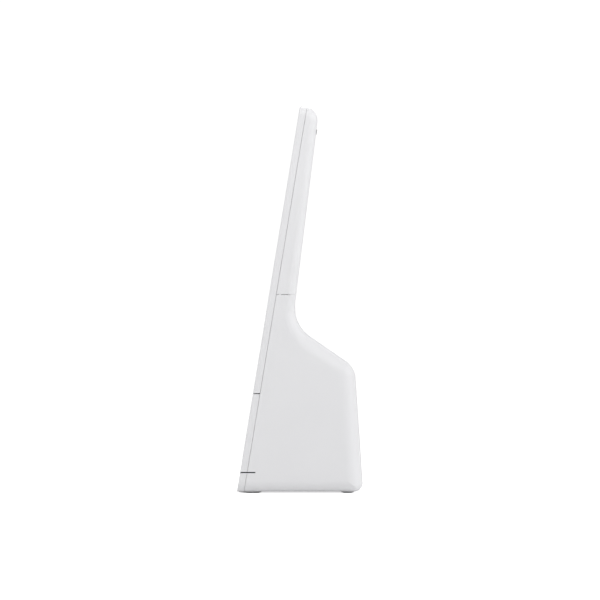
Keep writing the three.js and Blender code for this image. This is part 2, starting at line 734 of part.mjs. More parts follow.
function pairingSwitch() {
  const { halfWidth, y, z } = PAIRING_SWITCH;
  return block([PAIRING_X - halfWidth, PAIRING_X + halfWidth], y, z);
}

function pairingButton() {
  const profile = [
    [0, -4.4], [3.3, -4.4], [3.3, -3.4], [2.4, -3.4], [2.4, -0.3], [2.1, -0.1], [0, -0.1],
  ];
  return revolved(profile, PAIRING_X, 0, 24);
}

// ---------------------------------------------------------------------------------------------
// Rear mouldings
// ---------------------------------------------------------------------------------------------

function upperRearCover() {
  const above = block(WIDE, WIDE, [COVER_SEAM_Z + GAP / 2, 2 * FAR]);
  const slotZ = [SHUTTER.z[0] - GAP, SHUTTER.knobTop + GAP];
  const knobSlot = inFace(block(slideRoom(SHUTTER.knobX), [8, 20], slotZ));
  return cut(keep(outerBlock, behindSeam, above), innerBlock, knobSlot);
}

const COVER_OPENING = { x: [-52, 52], y: [-20.5, 24], corner: 4 };
const BOSS = { radius: 4, bottom: 3.5, top: 13, pilot: 1.6 };
const RIB = { end: 60.2, halfThickness: 1.2, top: 11 };

// A screw boss on a rib that stands on the side wall.
function screwBoss(x, y) {
  const ribX = onSide(Math.sign(x), [Math.abs(x), RIB.end]);
  return join(
    post(x, y, BOSS.radius, [BOSS.bottom, BOSS.top]),
    block(ribX, [y - RIB.halfThickness, y + RIB.halfThickness], [BOSS.bottom, RIB.top]),
  );
}

function baseScrewPlaces() {
  return BASE_SCREW_Y.flatMap((y) => [[-SCREW_X, y], [SCREW_X, y]]);
}

function baseHousing() {
  const below = block(WIDE, WIDE, [-FAR, COVER_SEAM_Z - GAP / 2]);
  const opening = tile(COVER_OPENING.x, COVER_OPENING.y, [-1, 5], COVER_OPENING.corner);
  const slots = [-1, 1].map((side) => (
    block(
      onSide(side, [WIDTH / 2 - 7, WIDTH]),
      [-WIDTH, SLOT_END_Y],
      [SLOT_Z - SLOT_HEIGHT / 2, SLOT_Z + SLOT_HEIGHT / 2],
    )
  ));
  const inletHole = inPort(inletOval(INLET_HOLE));
  const buttonHole = inPort(disc(PAIRING_X, 0, PAIRING_HOLE.radius, PAIRING_HOLE.depth, 24));
  const shell = cut(
    keep(outerBlock, behindSeam, below), innerBlock, opening, ...slots, inletHole, buttonHole,
  );
  const bosses = baseScrewPlaces().map(([x, y]) => screwBoss(x, y));
  const pilots = baseScrewPlaces().map(([x, y]) => post(x, y, BOSS.pilot, [0, BOSS.top - 1]));
  return cut(join(shell, ...bosses), ...pilots);
}

const COVER_TOP = 3.1;
const VENT = { y: [-11, -3, 5, 13], width: 2, halfLength: 14 };
const BASE_SCREW = { shank: 1.4, head: 3, headZ: [1.2, 2], tip: 11 };
const THROUGH_BASE = [0, 5];

function serviceCover() {
  const x = [COVER_OPENING.x[0] + GAP, COVER_OPENING.x[1] - GAP];
  const y = [COVER_OPENING.y[0] + GAP, COVER_OPENING.y[1] - GAP];
  const sheet = tile(x, y, [UNDERSIDE, COVER_TOP], COVER_OPENING.corner - GAP);
  const vents = VENT.y.map((front) => (
    tile([-VENT.halfLength, VENT.halfLength], [front, front + VENT.width], THROUGH_BASE, 0.95)
  ));
  const holes = baseScrewPlaces().flatMap(([px, py]) => [
    post(px, py, BASE_SCREW.shank + GAP, THROUGH_BASE),
    post(px, py, BASE_SCREW.head + GAP, [0, BASE_SCREW.headZ[1] + 0.1]),
  ]);
  return cut(sheet, ...vents, ...holes);
}

function baseScrew([x, y]) {
  const { shank, head, headZ, tip } = BASE_SCREW;
  return join(post(x, y, head, headZ), post(x, y, shank, [headZ[1] - 0.1, tip]));
}

const FRONT_FOOT = { y: [-37, -22.8], halfLength: 53, frontSlope: 5.5, rearSlope: 1.8 };
const REAR_FOOT = { y: [24.3, 32.5], halfLength: 52, frontSlope: 1.5, rearSlope: 1.5 };
const BALLAST = { halfLength: 44, y: [-27, -21.2], z: [3.7, 10.2] };

// A low rubber bar with sloping flanks.
function foot({ y: [y0, y1], halfLength, frontSlope, rearSlope }) {
  const top = UNDERSIDE - 0.15;
  const section = [[y0 + frontSlope, 0], [y1 - rearSlope, 0], [y1, top], [y0, top]];
  return bar(section, [-halfLength, halfLength]);
}

function ballastBar() {
  return block([-BALLAST.halfLength, BALLAST.halfLength], BALLAST.y, BALLAST.z);
}

// ---------------------------------------------------------------------------------------------
// Assembly
// ---------------------------------------------------------------------------------------------

const layer = frontLayer();
add(face, 'front_frame', frontFrame(layer), whitePlastic);
add(face, 'lower_front_plate', lowerFrontPlate(layer), whitePlastic);
add(face, 'chin_strip', chinStrip(layer), whitePlastic);

add(face, 'cover_glass', coverGlass(), glass);
add(face, 'glass_tape', glassTape(), blackRubber);
add(face, 'display_panel', displayPanel(), panel);
add(face, 'display_bracket', displayBracket(), steel);
BRACKET_SCREWS.forEach((place, i) => {
  add(face, `bracket_screw_${i + 1}`, bracketScrew(place), steel);
});
add(face, 'camera_module', cameraModule(), darkPlastic);
add(face, 'camera_lens', cameraLens(), blackPlastic);
add(face, 'camera_shutter', cameraShutter(), greyPlastic);

KEY_NAMES.forEach((name, i) => add(face, name, pushKey(keyX(i)), whitePlastic));
add(face, 'key_mat', keyMat(), rubber);
add(face, 'key_board', keyBoard(), boardGreen);
add(face, 'mic_boot', micBoot(), blackRubber);
add(face, 'mic_board', micBoard(), boardGreen);

add(face, 'speaker_gasket', speakerGasket(), blackRubber);
add(face, 'speaker_frame', speakerFrame(), blackPlastic);
add(face, 'speaker_cone', speakerCone(), paperCone);
add(face, 'speaker_magnet', speakerMagnet(), steel);
add(face, 'speaker_box', speakerBox(), darkPlastic);

add(station, 'light_guide', lightGuide(), smokedPlastic);
add(station, 'light_board', lightBoard(), boardGreen);

add(face, 'main_board', mainBoard(), boardGreen);
add(face, 'shield_can', shieldCan(), steel);
add(face, 'heat_spreader', heatSpreader(), aluminium);
BOARD_SPACERS.forEach((place, i) => {
  add(face, `board_spacer_${i + 1}`, boardSpacer(place), aluminium);
});
add(face, 'display_flex', displayFlex(), flexAmber);
add(face, 'wifi_antenna_left', wifiAntenna(-1), flexAmber);
add(face, 'wifi_antenna_right', wifiAntenna(1), flexAmber);
add(station, 'battery_pack', batteryPack(), foil);
add(station, 'battery_tray', batteryTray(), darkPlastic);

add(face, 'speaker_lead', wire(SPEAKER_ROUTE, LEAD_RADIUS, 14), blackRubber);
add(face, 'battery_lead', wire(BATTERY_ROUTE, LEAD_RADIUS, 16), blackRubber);

add(port, 'power_inlet', powerInlet(), steel);
add(port, 'inlet_board', inletBoard(), boardGreen);
add(port, 'pairing_switch', pairingSwitch(), blackPlastic);
add(port, 'pairing_button', pairingButton(), greyPlastic);

add(station, 'upper_rear_cover', upperRearCover(), whitePlastic);
add(station, 'base_housing', baseHousing(), whitePlastic);
add(station, 'service_cover', serviceCover(), whitePlastic);
baseScrewPlaces().forEach((place, i) => {
  add(station, `base_screw_${i + 1}`, baseScrew(place), steel);
});
add(station, 'front_foot', foot(FRONT_FOOT), rubber);
add(station, 'rear_foot', foot(REAR_FOOT), rubber);
add(station, 'ballast_bar', ballastBar(), steel);

export default station;
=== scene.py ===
import json
import math

import bmesh
import bpy
from mathutils import Matrix, Vector


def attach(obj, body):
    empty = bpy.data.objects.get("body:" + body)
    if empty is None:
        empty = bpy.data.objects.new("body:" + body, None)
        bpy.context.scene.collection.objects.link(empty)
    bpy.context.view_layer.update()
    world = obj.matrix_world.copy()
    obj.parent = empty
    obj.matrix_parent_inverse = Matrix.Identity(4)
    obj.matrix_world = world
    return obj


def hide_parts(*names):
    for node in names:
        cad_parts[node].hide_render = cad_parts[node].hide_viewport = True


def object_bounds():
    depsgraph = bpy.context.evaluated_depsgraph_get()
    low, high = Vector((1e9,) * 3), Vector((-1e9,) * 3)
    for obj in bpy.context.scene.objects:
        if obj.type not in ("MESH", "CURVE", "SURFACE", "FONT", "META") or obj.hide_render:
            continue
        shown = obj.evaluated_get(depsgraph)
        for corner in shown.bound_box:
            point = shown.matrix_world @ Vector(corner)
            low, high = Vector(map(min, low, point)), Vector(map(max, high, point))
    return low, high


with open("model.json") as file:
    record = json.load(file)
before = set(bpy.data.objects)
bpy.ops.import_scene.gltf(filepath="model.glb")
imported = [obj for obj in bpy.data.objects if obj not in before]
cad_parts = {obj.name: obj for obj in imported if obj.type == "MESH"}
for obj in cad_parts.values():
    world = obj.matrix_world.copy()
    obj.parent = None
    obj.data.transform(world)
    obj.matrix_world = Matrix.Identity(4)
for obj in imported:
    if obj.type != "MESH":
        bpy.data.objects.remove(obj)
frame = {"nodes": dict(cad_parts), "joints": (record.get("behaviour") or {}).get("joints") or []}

scene = bpy.context.scene
cad_low, cad_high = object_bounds()


# ------------------------------------------------------------------------------------------
# Camera. Square to the station's right side, at the height of its middle, through a long lens
# that keeps the near and the far side almost the same size.
# ------------------------------------------------------------------------------------------
LENS = 400
SENSOR = 36
VIEW_WIDTH = 1.549 * (cad_high.z - cad_low.z)

camera_data = bpy.data.cameras.new("side_camera")
camera_data.lens = LENS
camera_data.sensor_width = SENSOR
camera_data.clip_end = 100
camera = bpy.data.objects.new("side_camera", camera_data)
camera.location = (cad_high.x + VIEW_WIDTH * LENS / SENSOR, 0, (cad_low.z + cad_high.z) / 2)
camera.rotation_euler = (math.pi / 2, 0, math.pi / 2)
scene.collection.objects.link(camera)
scene.camera = camera
scene.view_settings.view_transform = "Standard"


# ------------------------------------------------------------------------------------------
# Table. A wide white sheet that the station stands on. It glows where it is looked at, and throws
# a little less light back at the station, so that its lower edges keep their shade.
# ------------------------------------------------------------------------------------------
TABLE_HALF = 60
TABLE_WHITE = 0.9
TABLE_BOUNCE = 0.85
TABLE_GLOW = (0.08, 0.7)
TABLE_ROUGHNESS = 0.9

table_mesh = bpy.data.meshes.new("table_top")
table_corners = [(x, y, 0) for x, y in ((-1, -1), (1, -1), (1, 1), (-1, 1))]
table_mesh.from_pydata([(x * TABLE_HALF, y * TABLE_HALF, z) for x, y, z in table_corners], [],
                       [(0, 1, 2, 3)])
table_top = bpy.data.objects.new("table_top", table_mesh)
scene.collection.objects.link(table_top)
table_paint = bpy.data.materials.new("table_paint")
table_paint.use_nodes = True
table_nodes = table_paint.node_tree.nodes
table_links = table_paint.node_tree.links
table_shader = table_nodes["Principled BSDF"]
table_seen = table_nodes.new("ShaderNodeLightPath")
table_tone = table_nodes.new("ShaderNodeMix")
table_tone.inputs["A"].default_value = TABLE_BOUNCE
table_tone.inputs["B"].default_value = TABLE_WHITE
table_glow = table_nodes.new("ShaderNodeMix")
table_glow.inputs["A"].default_value, table_glow.inputs["B"].default_value = TABLE_GLOW
table_links.new(table_seen.outputs["Is Camera Ray"], table_tone.inputs["Factor"])
table_links.new(table_seen.outputs["Is Camera Ray"], table_glow.inputs["Factor"])
table_links.new(table_tone.outputs["Result"], table_shader.inputs["Base Color"])
table_links.new(table_glow.outputs["Result"], table_shader.inputs["Emission Strength"])
table_shader.inputs["Roughness"].default_value = TABLE_ROUGHNESS
table_shader.inputs["Emission Color"].default_value = (1, 1, 1, 1)
table_top.data.materials.append(table_paint)


# ------------------------------------------------------------------------------------------
# Light. An even white room, with soft boxes above, in front, behind and high at both sides. The
# side boxes hang close, so that the slab is lighter than the base.
# ------------------------------------------------------------------------------------------
ROOM_SIDE = 0.52
ROOM_TOP = 0.5
ROOM_GRADE = (-0.1, 0.9)
ROOM_SEEN = 1.05
LIGHT_AIM = (0, 0, 0.12)
SOFT_BOXES = {
    "overhead_box": ((0.1, 0.1, 1.3), 1.6, 0.5),
    "rear_box": ((0.3, 1.6, 0.7), 1.0, 9),
    "front_box": ((0.8, -1.72, 0.95), 0.8, 5.4),
    "right_box": ((0.45, 0, 0.6), 0.3, 1.15),
    "left_box": ((-0.45, 0, 0.6), 0.3, 1.15),
}

room = bpy.data.worlds.new("white_room")
scene.world = room
room.use_nodes = True
room_nodes = room.node_tree.nodes
room_links = room.node_tree.links
background = room_nodes["Background"]
direction = room_nodes.new("ShaderNodeTexCoord")
split = room_nodes.new("ShaderNodeSeparateXYZ")
height = room_nodes.new("ShaderNodeMapRange")
height.inputs["From Min"].default_value, height.inputs["From Max"].default_value = ROOM_GRADE
height.inputs["To Min"].default_value = ROOM_SIDE
height.inputs["To Max"].default_value = ROOM_TOP
path = room_nodes.new("ShaderNodeLightPath")
seen = room_nodes.new("ShaderNodeMix")
seen.inputs["B"].default_value = ROOM_SEEN
room_links.new(direction.outputs["Generated"], split.inputs["Vector"])
room_links.new(split.outputs["Z"], height.inputs["Value"])
room_links.new(path.outputs["Is Camera Ray"], seen.inputs["Factor"])
room_links.new(height.outputs["Result"], seen.inputs["A"])
room_links.new(seen.outputs["Result"], background.inputs["Strength"])
background.inputs["Color"].default_value = (1, 1, 1, 1)

for name, (place, size, watts) in SOFT_BOXES.items():
    lamp_data = bpy.data.lights.new(name, "AREA")
    lamp_data.shape = "SQUARE"
    lamp_data.size = size
    lamp_data.energy = watts
    lamp = bpy.data.objects.new(name, lamp_data)
    lamp.location = place
    towards = Vector(LIGHT_AIM) - Vector(place)
    lamp.rotation_euler = towards.to_track_quat("-Z", "Y").to_euler()
    lamp.visible_camera = False
    scene.collection.objects.link(lamp)


# ------------------------------------------------------------------------------------------
# Base housing. One white ABS moulding, open towards the front: neck, sloping shoulder, rear wall,
# both sides and the rim of the underside. It carries the speaker, the battery and the inlet.
# ------------------------------------------------------------------------------------------
TOE_Y = -0.0378
UNDERSIDE = 0.0011
HEEL_Y = 0.0378
REAR_TOP = (0.0328, 0.0746)
WALL = 0.0022
MOULD_EDGE = 0.00012
HALF_WIDTH = cad_high.x
FRONT_SHELL = 0.0042
SEAM = FRONT_SHELL + 0.00016
FAR = 0.4
WIDE = (-FAR, FAR)

# Side outline from the toe along the underside, up the rear and over the top, as
# (y, z, corner radius, softening of the edge that follows). The front is cut off later.
FRONT_EXCESS = 0.012
SIDE_OUTLINE = [
    (TOE_Y - FRONT_EXCESS, UNDERSIDE, 0, 0.007),
    (HEEL_Y, UNDERSIDE, 0.005, 0.010),
    (*REAR_TOP, 0.0115, 0.009),
    (-0.0029, 0.0991, 0.0215, 0.0065),
    (-0.0029, 0.1134, 0.010, 0.0055),
    (0.0114, 0.2291, 0.008, 0.0055),
    (-FRONT_EXCESS, 0.2312, 0, 0.0055),
]
EDGE_STEPS = 14
ARC_STEP = 0.06
SMALLEST_ARC = 0.0002

key_travel = next(j for j in frame["joints"] if j["name"] == "view_key_press")
into_body = Vector(key_travel["axis"]).normalized()
up_face = Vector((0, -into_body.z, into_body.y))
FACE = Matrix.Translation((0, TOE_Y, 0)) @ Matrix(((1, 0, 0), into_body, up_face)).transposed().to_4x4()


def ring_round_body(outline, angle, half_width):
    """The outline moved in along a quarter circle, each edge by its own softening radius."""
    edges = []
    for (y, z, _, softening), (next_y, next_z, _, _) in zip(outline, outline[1:] + outline[:1]):
        along = Vector((next_y - y, next_z - z)).normalized()
        inward = Vector((-along.y, along.x))
        inset = softening * (1 - math.cos(angle))
        x = half_width - softening * (1 - math.sin(angle))
        edges.append((along, inward, inset, Vector((y, z)) + inward * inset, x))
    ring = []
    for i, (_, _, radius, _) in enumerate(outline):
        along_in, inward_in, inset_in, start_in, x_in = edges[i - 1]
        along_out, _, inset_out, start_out, x_out = edges[i]
        sine = along_in.cross(along_out)
        corner = start_in + along_in * ((start_out - start_in).cross(along_out) / sine)
        if radius == 0:
            ring.append((x_in, corner.x, corner.y))
            continue
        turn = math.atan2(sine, along_in.dot(along_out))
        side = math.copysign(1, turn)
        arc_radius = max(radius - side * (inset_in + inset_out) / 2, SMALLEST_ARC)
        start = corner - along_in * arc_radius * math.tan(abs(turn) / 2)
        centre = start + inward_in * side * arc_radius
        steps = math.ceil(abs(turn) / ARC_STEP)
        for j in range(steps + 1):
            point = centre + Matrix.Rotation(turn * j / steps, 2) @ (start - centre)
            ring.append((x_in + (x_out - x_in) * j / steps, point.x, point.y))
    return ring


def body_block(outline, half_width):
    rings = [ring_round_body(outline, math.pi / 2 * i / EDGE_STEPS, half_width)
             for i in range(EDGE_STEPS + 1)]
    rings = [[(-x, y, z) for x, y, z in ring] for ring in reversed(rings)] + rings
    shape = bmesh.new()
    rows = [[shape.verts.new(point) for point in ring] for ring in rings]
    for low_row, high_row in zip(rows, rows[1:]):
        for j, _ in enumerate(low_row):
            k = (j + 1) % len(low_row)
            shape.faces.new((low_row[j], low_row[k], high_row[k], high_row[j]))
    shape.faces.new(reversed(rows[0]))
    shape.faces.new(rows[-1])
    return shape


def inset_outline(outline, distance):
    """The outline moved in by a wall's thickness."""
    moved = []
    for i, (y, z, radius, softening) in enumerate(outline):
        last, following = outline[i - 1], outline[(i + 1) % len(outline)]
        before = Vector((y - last[0], z - last[1])).normalized()
        after = Vector((following[0] - y, following[1] - z)).normalized()
        shift = distance / (1 + before.dot(after))
        corner = Vector((y, z)) + Vector((-before.y - after.y, before.x + after.x)) * shift
        side = math.copysign(1, before.cross(after))
        kept = max(radius - side * distance, 0.0005) if radius else 0
        moved.append((corner.x, corner.y, kept, softening - distance))
    return moved


def box_shape(x, y, z):
    shape = bmesh.new()
    bmesh.ops.create_cube(shape, size=1)
    size = Vector((x[1] - x[0], y[1] - y[0], z[1] - z[0]))
    centre = Vector((x[0] + x[1], y[0] + y[1], z[0] + z[1])) / 2
    shape.transform(Matrix.Translation(centre) @ Matrix.Diagonal(size).to_4x4())
    return shape


def rounded_outline(x, z, radius, steps=8):
    """A rectangle with round corners, counter-clockwise from its lower right corner."""
    centres = [(x[1] - radius, z[0] + radius), (x[1] - radius, z[1] - radius),
               (x[0] + radius, z[1] - radius), (x[0] + radius, z[0] + radius)]
    points = []
    for quarter, (cx, cz) in enumerate(centres):
        for j in range(steps + 1):
            angle = math.pi / 2 * (quarter - 1 + j / steps)
            points.append((cx + radius * math.cos(angle), cz + radius * math.sin(angle)))
    return points


def prism(outline, depth):
    """A flat outline in x and z carried through a depth along y."""
    shape = bmesh.new()
    near = [shape.verts.new((x, depth[0], z)) for x, z in outline]
    far = [shape.verts.new((x, depth[1], z)) for x, z in outline]
    shape.faces.new(near)
    shape.faces.new(reversed(far))
    for j, _ in enumerate(outline):
        k = (j + 1) % len(outline)
        shape.faces.new((near[k], near[j], far[j], far[k]))
    return shape


def round_outline(x, z, radius, sides=48):
    return [(x + radius * math.cos(2 * math.pi * j / sides),
             z + radius * math.sin(2 * math.pi * j / sides)) for j in range(sides)]


def new_piece(name, shape, place=Matrix.Identity(4)):
    shape.transform(place)
    bmesh.ops.recalc_face_normals(shape, faces=shape.faces)
    mesh = bpy.data.meshes.new(name)
    shape.to_mesh(mesh)
    shape.free()
    piece = bpy.data.objects.new(name, mesh)
    scene.collection.objects.link(piece)
    return piece


def settle(piece):
    """Make the shape that the modifiers give the piece's own."""
    depsgraph = bpy.context.evaluated_depsgraph_get()
    finished = bpy.data.meshes.new_from_object(piece.evaluated_get(depsgraph))
    rough = piece.data
    piece.modifiers.clear()
    piece.data = finished
    bpy.data.meshes.remove(rough)


def carve(piece, shapes, place=Matrix.Identity(4), operation="DIFFERENCE"):
    cutters = [new_piece("cutter", shape, place) for shape in shapes]
    for cutter in cutters:
        cut = piece.modifiers.new("cut", "BOOLEAN")
        cut.object = cutter
        cut.operation = operation
        cut.solver = "EXACT"
    settle(piece)
    for cutter in cutters:
        bpy.data.objects.remove(cutter)


def round_edges(piece, width, segments=2, sharper_than=35):
    """Break every sharp edge as a mould does, and keep the flats flat in the shading."""
    bevel = piece.modifiers.new("edges", "BEVEL")
    bevel.width = width
    bevel.segments = segments
    bevel.limit_method = "ANGLE"
    bevel.angle_limit = math.radians(sharper_than)
    settle(piece)
    shade(piece)


def shade(piece, sharper_than=40):
    piece.data.shade_smooth()
    piece.data.set_sharp_from_angle(angle=math.radians(sharper_than))
    normals = piece.modifiers.new("normals", "WEIGHTED_NORMAL")
    normals.keep_sharp = True
    settle(piece)


GLOSS_COARSENESS = 6
RELIEF_DEPTH = 0.0004


def add_node(material, kind, **sockets):
    node = material.node_tree.nodes.new(kind)
    for socket, value in sockets.items():
        node.inputs[socket.replace("_", " ")].default_value = value
    return node


def join_nodes(material, *pairs):
    for (source, output), (target, socket) in pairs:
        material.node_tree.links.new(source.outputs[output], target.inputs[socket])


def surface(name, tones, roughness, grain, strength, metallic=0, drift=35, stretch=(1, 1, 1)):
    """Colour drifting between two tones, slightly uneven gloss and a fine relief. The grain is in
    cycles per metre, and stretch lengthens it along an axis, as brushing or drawing does."""
    material = bpy.data.materials.new(name)
    material.use_nodes = True
    shader = material.node_tree.nodes["Principled BSDF"]
    shader.inputs["Metallic"].default_value = metallic
    place = add_node(material, "ShaderNodeTexCoord")
    drawn = add_node(material, "ShaderNodeMapping", Scale=stretch)
    shades = add_node(material, "ShaderNodeTexNoise", Scale=drift, Detail=3)
    tone = add_node(material, "ShaderNodeMix")
    tone.data_type = "RGBA"
    tone.inputs["A"].default_value = (*tones[0], 1)
    tone.inputs["B"].default_value = (*tones[1], 1)
    gloss = add_node(material, "ShaderNodeTexNoise", Scale=grain / GLOSS_COARSENESS)
    gloss_range = add_node(material, "ShaderNodeMapRange", To_Min=roughness[0], To_Max=roughness[1])
    relief = add_node(material, "ShaderNodeTexNoise", Scale=grain, Detail=4)
    bump = add_node(material, "ShaderNodeBump", Strength=strength, Distance=RELIEF_DEPTH)
    join_nodes(
        material,
        ((place, "Object"), (drawn, "Vector")),
        ((place, "Object"), (shades, "Vector")),
        ((drawn, "Vector"), (gloss, "Vector")),
        ((drawn, "Vector"), (relief, "Vector")),
        ((shades, "Fac"), (tone, "Factor")),
        ((tone, "Result"), (shader, "Base Color")),
        ((gloss, "Fac"), (gloss_range, "Value")),
        ((gloss_range, "Result"), (shader, "Roughness")),
        ((relief, "Fac"), (bump, "Height")),
        ((bump, "Normal"), (shader, "Normal")),
    )
    return material


def fit(piece, material, stands_for=(), body="housing"):
    """Dress the piece and fix it to its body."""
    piece.data.materials.clear()
    piece.data.materials.append(material)
    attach(piece, body)
    if stands_for:
        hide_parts(*stands_for)
    return piece


white_abs = surface("white_abs", ((0.79, 0.79, 0.804), (0.815, 0.815, 0.829)), (0.43, 0.53),
                    grain=2600, strength=0.03)

COVER_SEAM = 0.1183
COVER_GAP = 0.00028
SERVICE_X = (-0.052, 0.052)
SERVICE_Y = (-0.0205, 0.024)
SERVICE_CORNER = 0.004
THROUGH_BASE = (-0.005, 0.002)
SLOT_MIDDLE = 0.01255
SLOT_HEIGHT = 0.0007
SLOT_Y = (-0.05, -0.0265)
SIDE_WALLS = ((-0.07, -0.055), (0.055, 0.07))
PORT_Z = 0.016
REAR_SLOPE = math.atan2(HEEL_Y - REAR_TOP[0], REAR_TOP[1] - UNDERSIDE)
PORT = (Matrix.Translation((0, HEEL_Y - (PORT_Z - UNDERSIDE) * math.tan(REAR_SLOPE), PORT_Z))
        @ Matrix.Rotation(REAR_SLOPE, 4, "X"))
PAIRING_X = 0.016
PAIRING_HOLE = 0.0027
INLET_HOLE_X = (-0.0048, 0.0048)
INLET_HOLE_Z = (-0.0019, 0.0019)
INLET_HOLE_CORNER = 0.00185
THROUGH_REAR = (-0.006, 0.002)
UPRIGHT = Matrix.Rotation(math.pi / 2, 4, "X")


def front_cut():
    return box_shape(WIDE, (-FAR, SEAM), (-FAR, FAR))


base_housing = new_piece("base_housing_shell", body_block(SIDE_OUTLINE, HALF_WIDTH))
carve(base_housing, [front_cut()], FACE)
carve(base_housing, [
    box_shape(WIDE, WIDE, (COVER_SEAM - COVER_GAP / 2, FAR)),
    body_block(inset_outline(SIDE_OUTLINE, WALL), HALF_WIDTH - WALL),
])
carve(base_housing, [
    box_shape(side, SLOT_Y, (SLOT_MIDDLE - SLOT_HEIGHT / 2, SLOT_MIDDLE + SLOT_HEIGHT / 2))
    for side in SIDE_WALLS
])
service_outline = rounded_outline(SERVICE_X, SERVICE_Y, SERVICE_CORNER)
carve(base_housing, [prism([(x, -y) for x, y in reversed(service_outline)], THROUGH_BASE)],
      UPRIGHT)
carve(base_housing, [
    prism(rounded_outline(INLET_HOLE_X, INLET_HOLE_Z, INLET_HOLE_CORNER), THROUGH_REAR),
    prism(round_outline(PAIRING_X, 0, PAIRING_HOLE), THROUGH_REAR),
], PORT)
round_edges(base_housing, MOULD_EDGE)
fit(base_housing, white_abs, ["base_housing"])


# ------------------------------------------------------------------------------------------
# Upper rear cover. The slab's back, the same white ABS, snapped on down to the level seam. A slot
# near its top lets the shutter's knob through.
# ------------------------------------------------------------------------------------------
SHUTTER_SLOT_X = (-0.0046, 0.0146)
SHUTTER_SLOT_Z = (0.2191, 0.2227)
SHUTTER_SLOT_CORNER = 0.0008
THROUGH_COVER = (0.008, 0.02)

rear_cover = new_piece("upper_rear_cover_shell", body_block(SIDE_OUTLINE, HALF_WIDTH))
carve(rear_cover, [front_cut()], FACE)
carve(rear_cover, [
    box_shape(WIDE, WIDE, (-FAR, COVER_SEAM + COVER_GAP / 2)),
    body_block(inset_outline(SIDE_OUTLINE, WALL), HALF_WIDTH - WALL),
])
shutter_slot = rounded_outline(SHUTTER_SLOT_X, SHUTTER_SLOT_Z, SHUTTER_SLOT_CORNER)
carve(rear_cover, [prism(shutter_slot, THROUGH_COVER)], FACE)
round_edges(rear_cover, MOULD_EDGE)
fit(rear_cover, white_abs, ["upper_rear_cover"])


# ------------------------------------------------------------------------------------------
# Front mouldings. One layer, cut into the frame round the glass, the plate with the keys and the
# speaker grille, and the chin under the light slot. Each is hooked onto the housing.
# ------------------------------------------------------------------------------------------
FRONT_EDGE = 0.0012
FACE_FOOT = 0.0002
FACE_OVERRUN = 0.0003
HEAD_Z = 0.230
FACE_TOP = HEAD_Z / into_body.y + FACE_OVERRUN
FACE_CORNER = 0.0055
FACE_PLAY = 0.0001
PLATE_SPLIT = 0.0594
SPLIT_GAP = 0.0006
GLASS_X = (-0.056, 0.056)
GLASS_Z = (0.067, 0.2285)
GLASS_CORNER = 0.005
GLASS_SEAT = 0.0016
GLASS_GAP = 0.0002
DISPLAY_X = (-0.0468, 0.0468)
DISPLAY_Z = (0.071, 0.2174)
BEHIND_GLASS = (0, 0.006)
SHUTTER_POCKET_X = (-0.0052, 0.0152)
SHUTTER_POCKET_Z = (0.219, 0.2268)
THROUGH = (-0.001, 0.006)
KEY_Z = 0.0475
KEY_PITCH = 0.024
KEY_RADIUS = 0.0055
KEY_PLAY = 0.0002
KEYS = ["view_key", "answer_key", "unlock_key", "end_key"]
key_places = [(i - (len(KEYS) - 1) / 2) * KEY_PITCH for i in range(len(KEYS))]
SPEAKER_Z = 0.028
GRILLE_SLOTS = 5
GRILLE_PITCH = 0.0034
GRILLE_HALF = (0.025, 0.00075)
ALMOST_ROUND = 0.99
MIC_Z = 0.0572
MIC_HOLE = 0.0006
PLATE_EDGE = 0.00015
SHARPEST_CORNER = 0.0001


def loft(rings):
    """A closed skin over outlines at successive depths along y."""
    shape = bmesh.new()
    rows = [[shape.verts.new((x, depth, z)) for x, z in outline] for depth, outline in rings]
    shape.faces.new(rows[0])
    shape.faces.new(reversed(rows[-1]))
    for near, far in zip(rows, rows[1:]):
        for j, _ in enumerate(near):
            k = (j + 1) % len(near)
            shape.faces.new((near[k], near[j], far[j], far[k]))
    return shape


def soft_plate(x, z, corner, depth, edge, steps=6):
    """A plate with round corners whose front edge is rounded over."""
    rings = []
    for i in range(steps + 1):
        angle = math.pi / 2 * i / steps
        inset = edge * (1 - math.sin(angle))
        outline = rounded_outline((x[0] + inset, x[1] - inset), (z[0] + inset, z[1] - inset),
                                  max(corner - inset, SHARPEST_CORNER))
        rings.append((depth[0] + edge * (1 - math.cos(angle)), outline))
    return loft(rings + [(depth[1], rounded_outline(x, z, corner))])


def front_moulding(name, z):
    """The part of the front layer between two heights above the table."""
    side = HALF_WIDTH + FACE_PLAY
    piece = new_piece(name, soft_plate((-side, side), (FACE_FOOT, FACE_TOP), FACE_CORNER,
                                       (0, FRONT_SHELL), FRONT_EDGE), FACE)
    carve(piece, [body_block(SIDE_OUTLINE, HALF_WIDTH)], operation="INTERSECT")
    carve(piece, [box_shape(WIDE, WIDE, z)], operation="INTERSECT")
    return piece


front_frame = front_moulding("front_frame_shell", (PLATE_SPLIT + SPLIT_GAP / 2, FAR))
carve(front_frame, [
    prism(rounded_outline((GLASS_X[0] - GLASS_GAP, GLASS_X[1] + GLASS_GAP),
                          (GLASS_Z[0] - GLASS_GAP, GLASS_Z[1] + GLASS_GAP),
                          GLASS_CORNER + GLASS_GAP), (THROUGH[0], GLASS_SEAT)),
    box_shape(DISPLAY_X, BEHIND_GLASS, DISPLAY_Z),
    box_shape(SHUTTER_POCKET_X, BEHIND_GLASS, SHUTTER_POCKET_Z),
], FACE)
round_edges(front_frame, MOULD_EDGE)
fit(front_frame, white_abs, ["front_frame"])

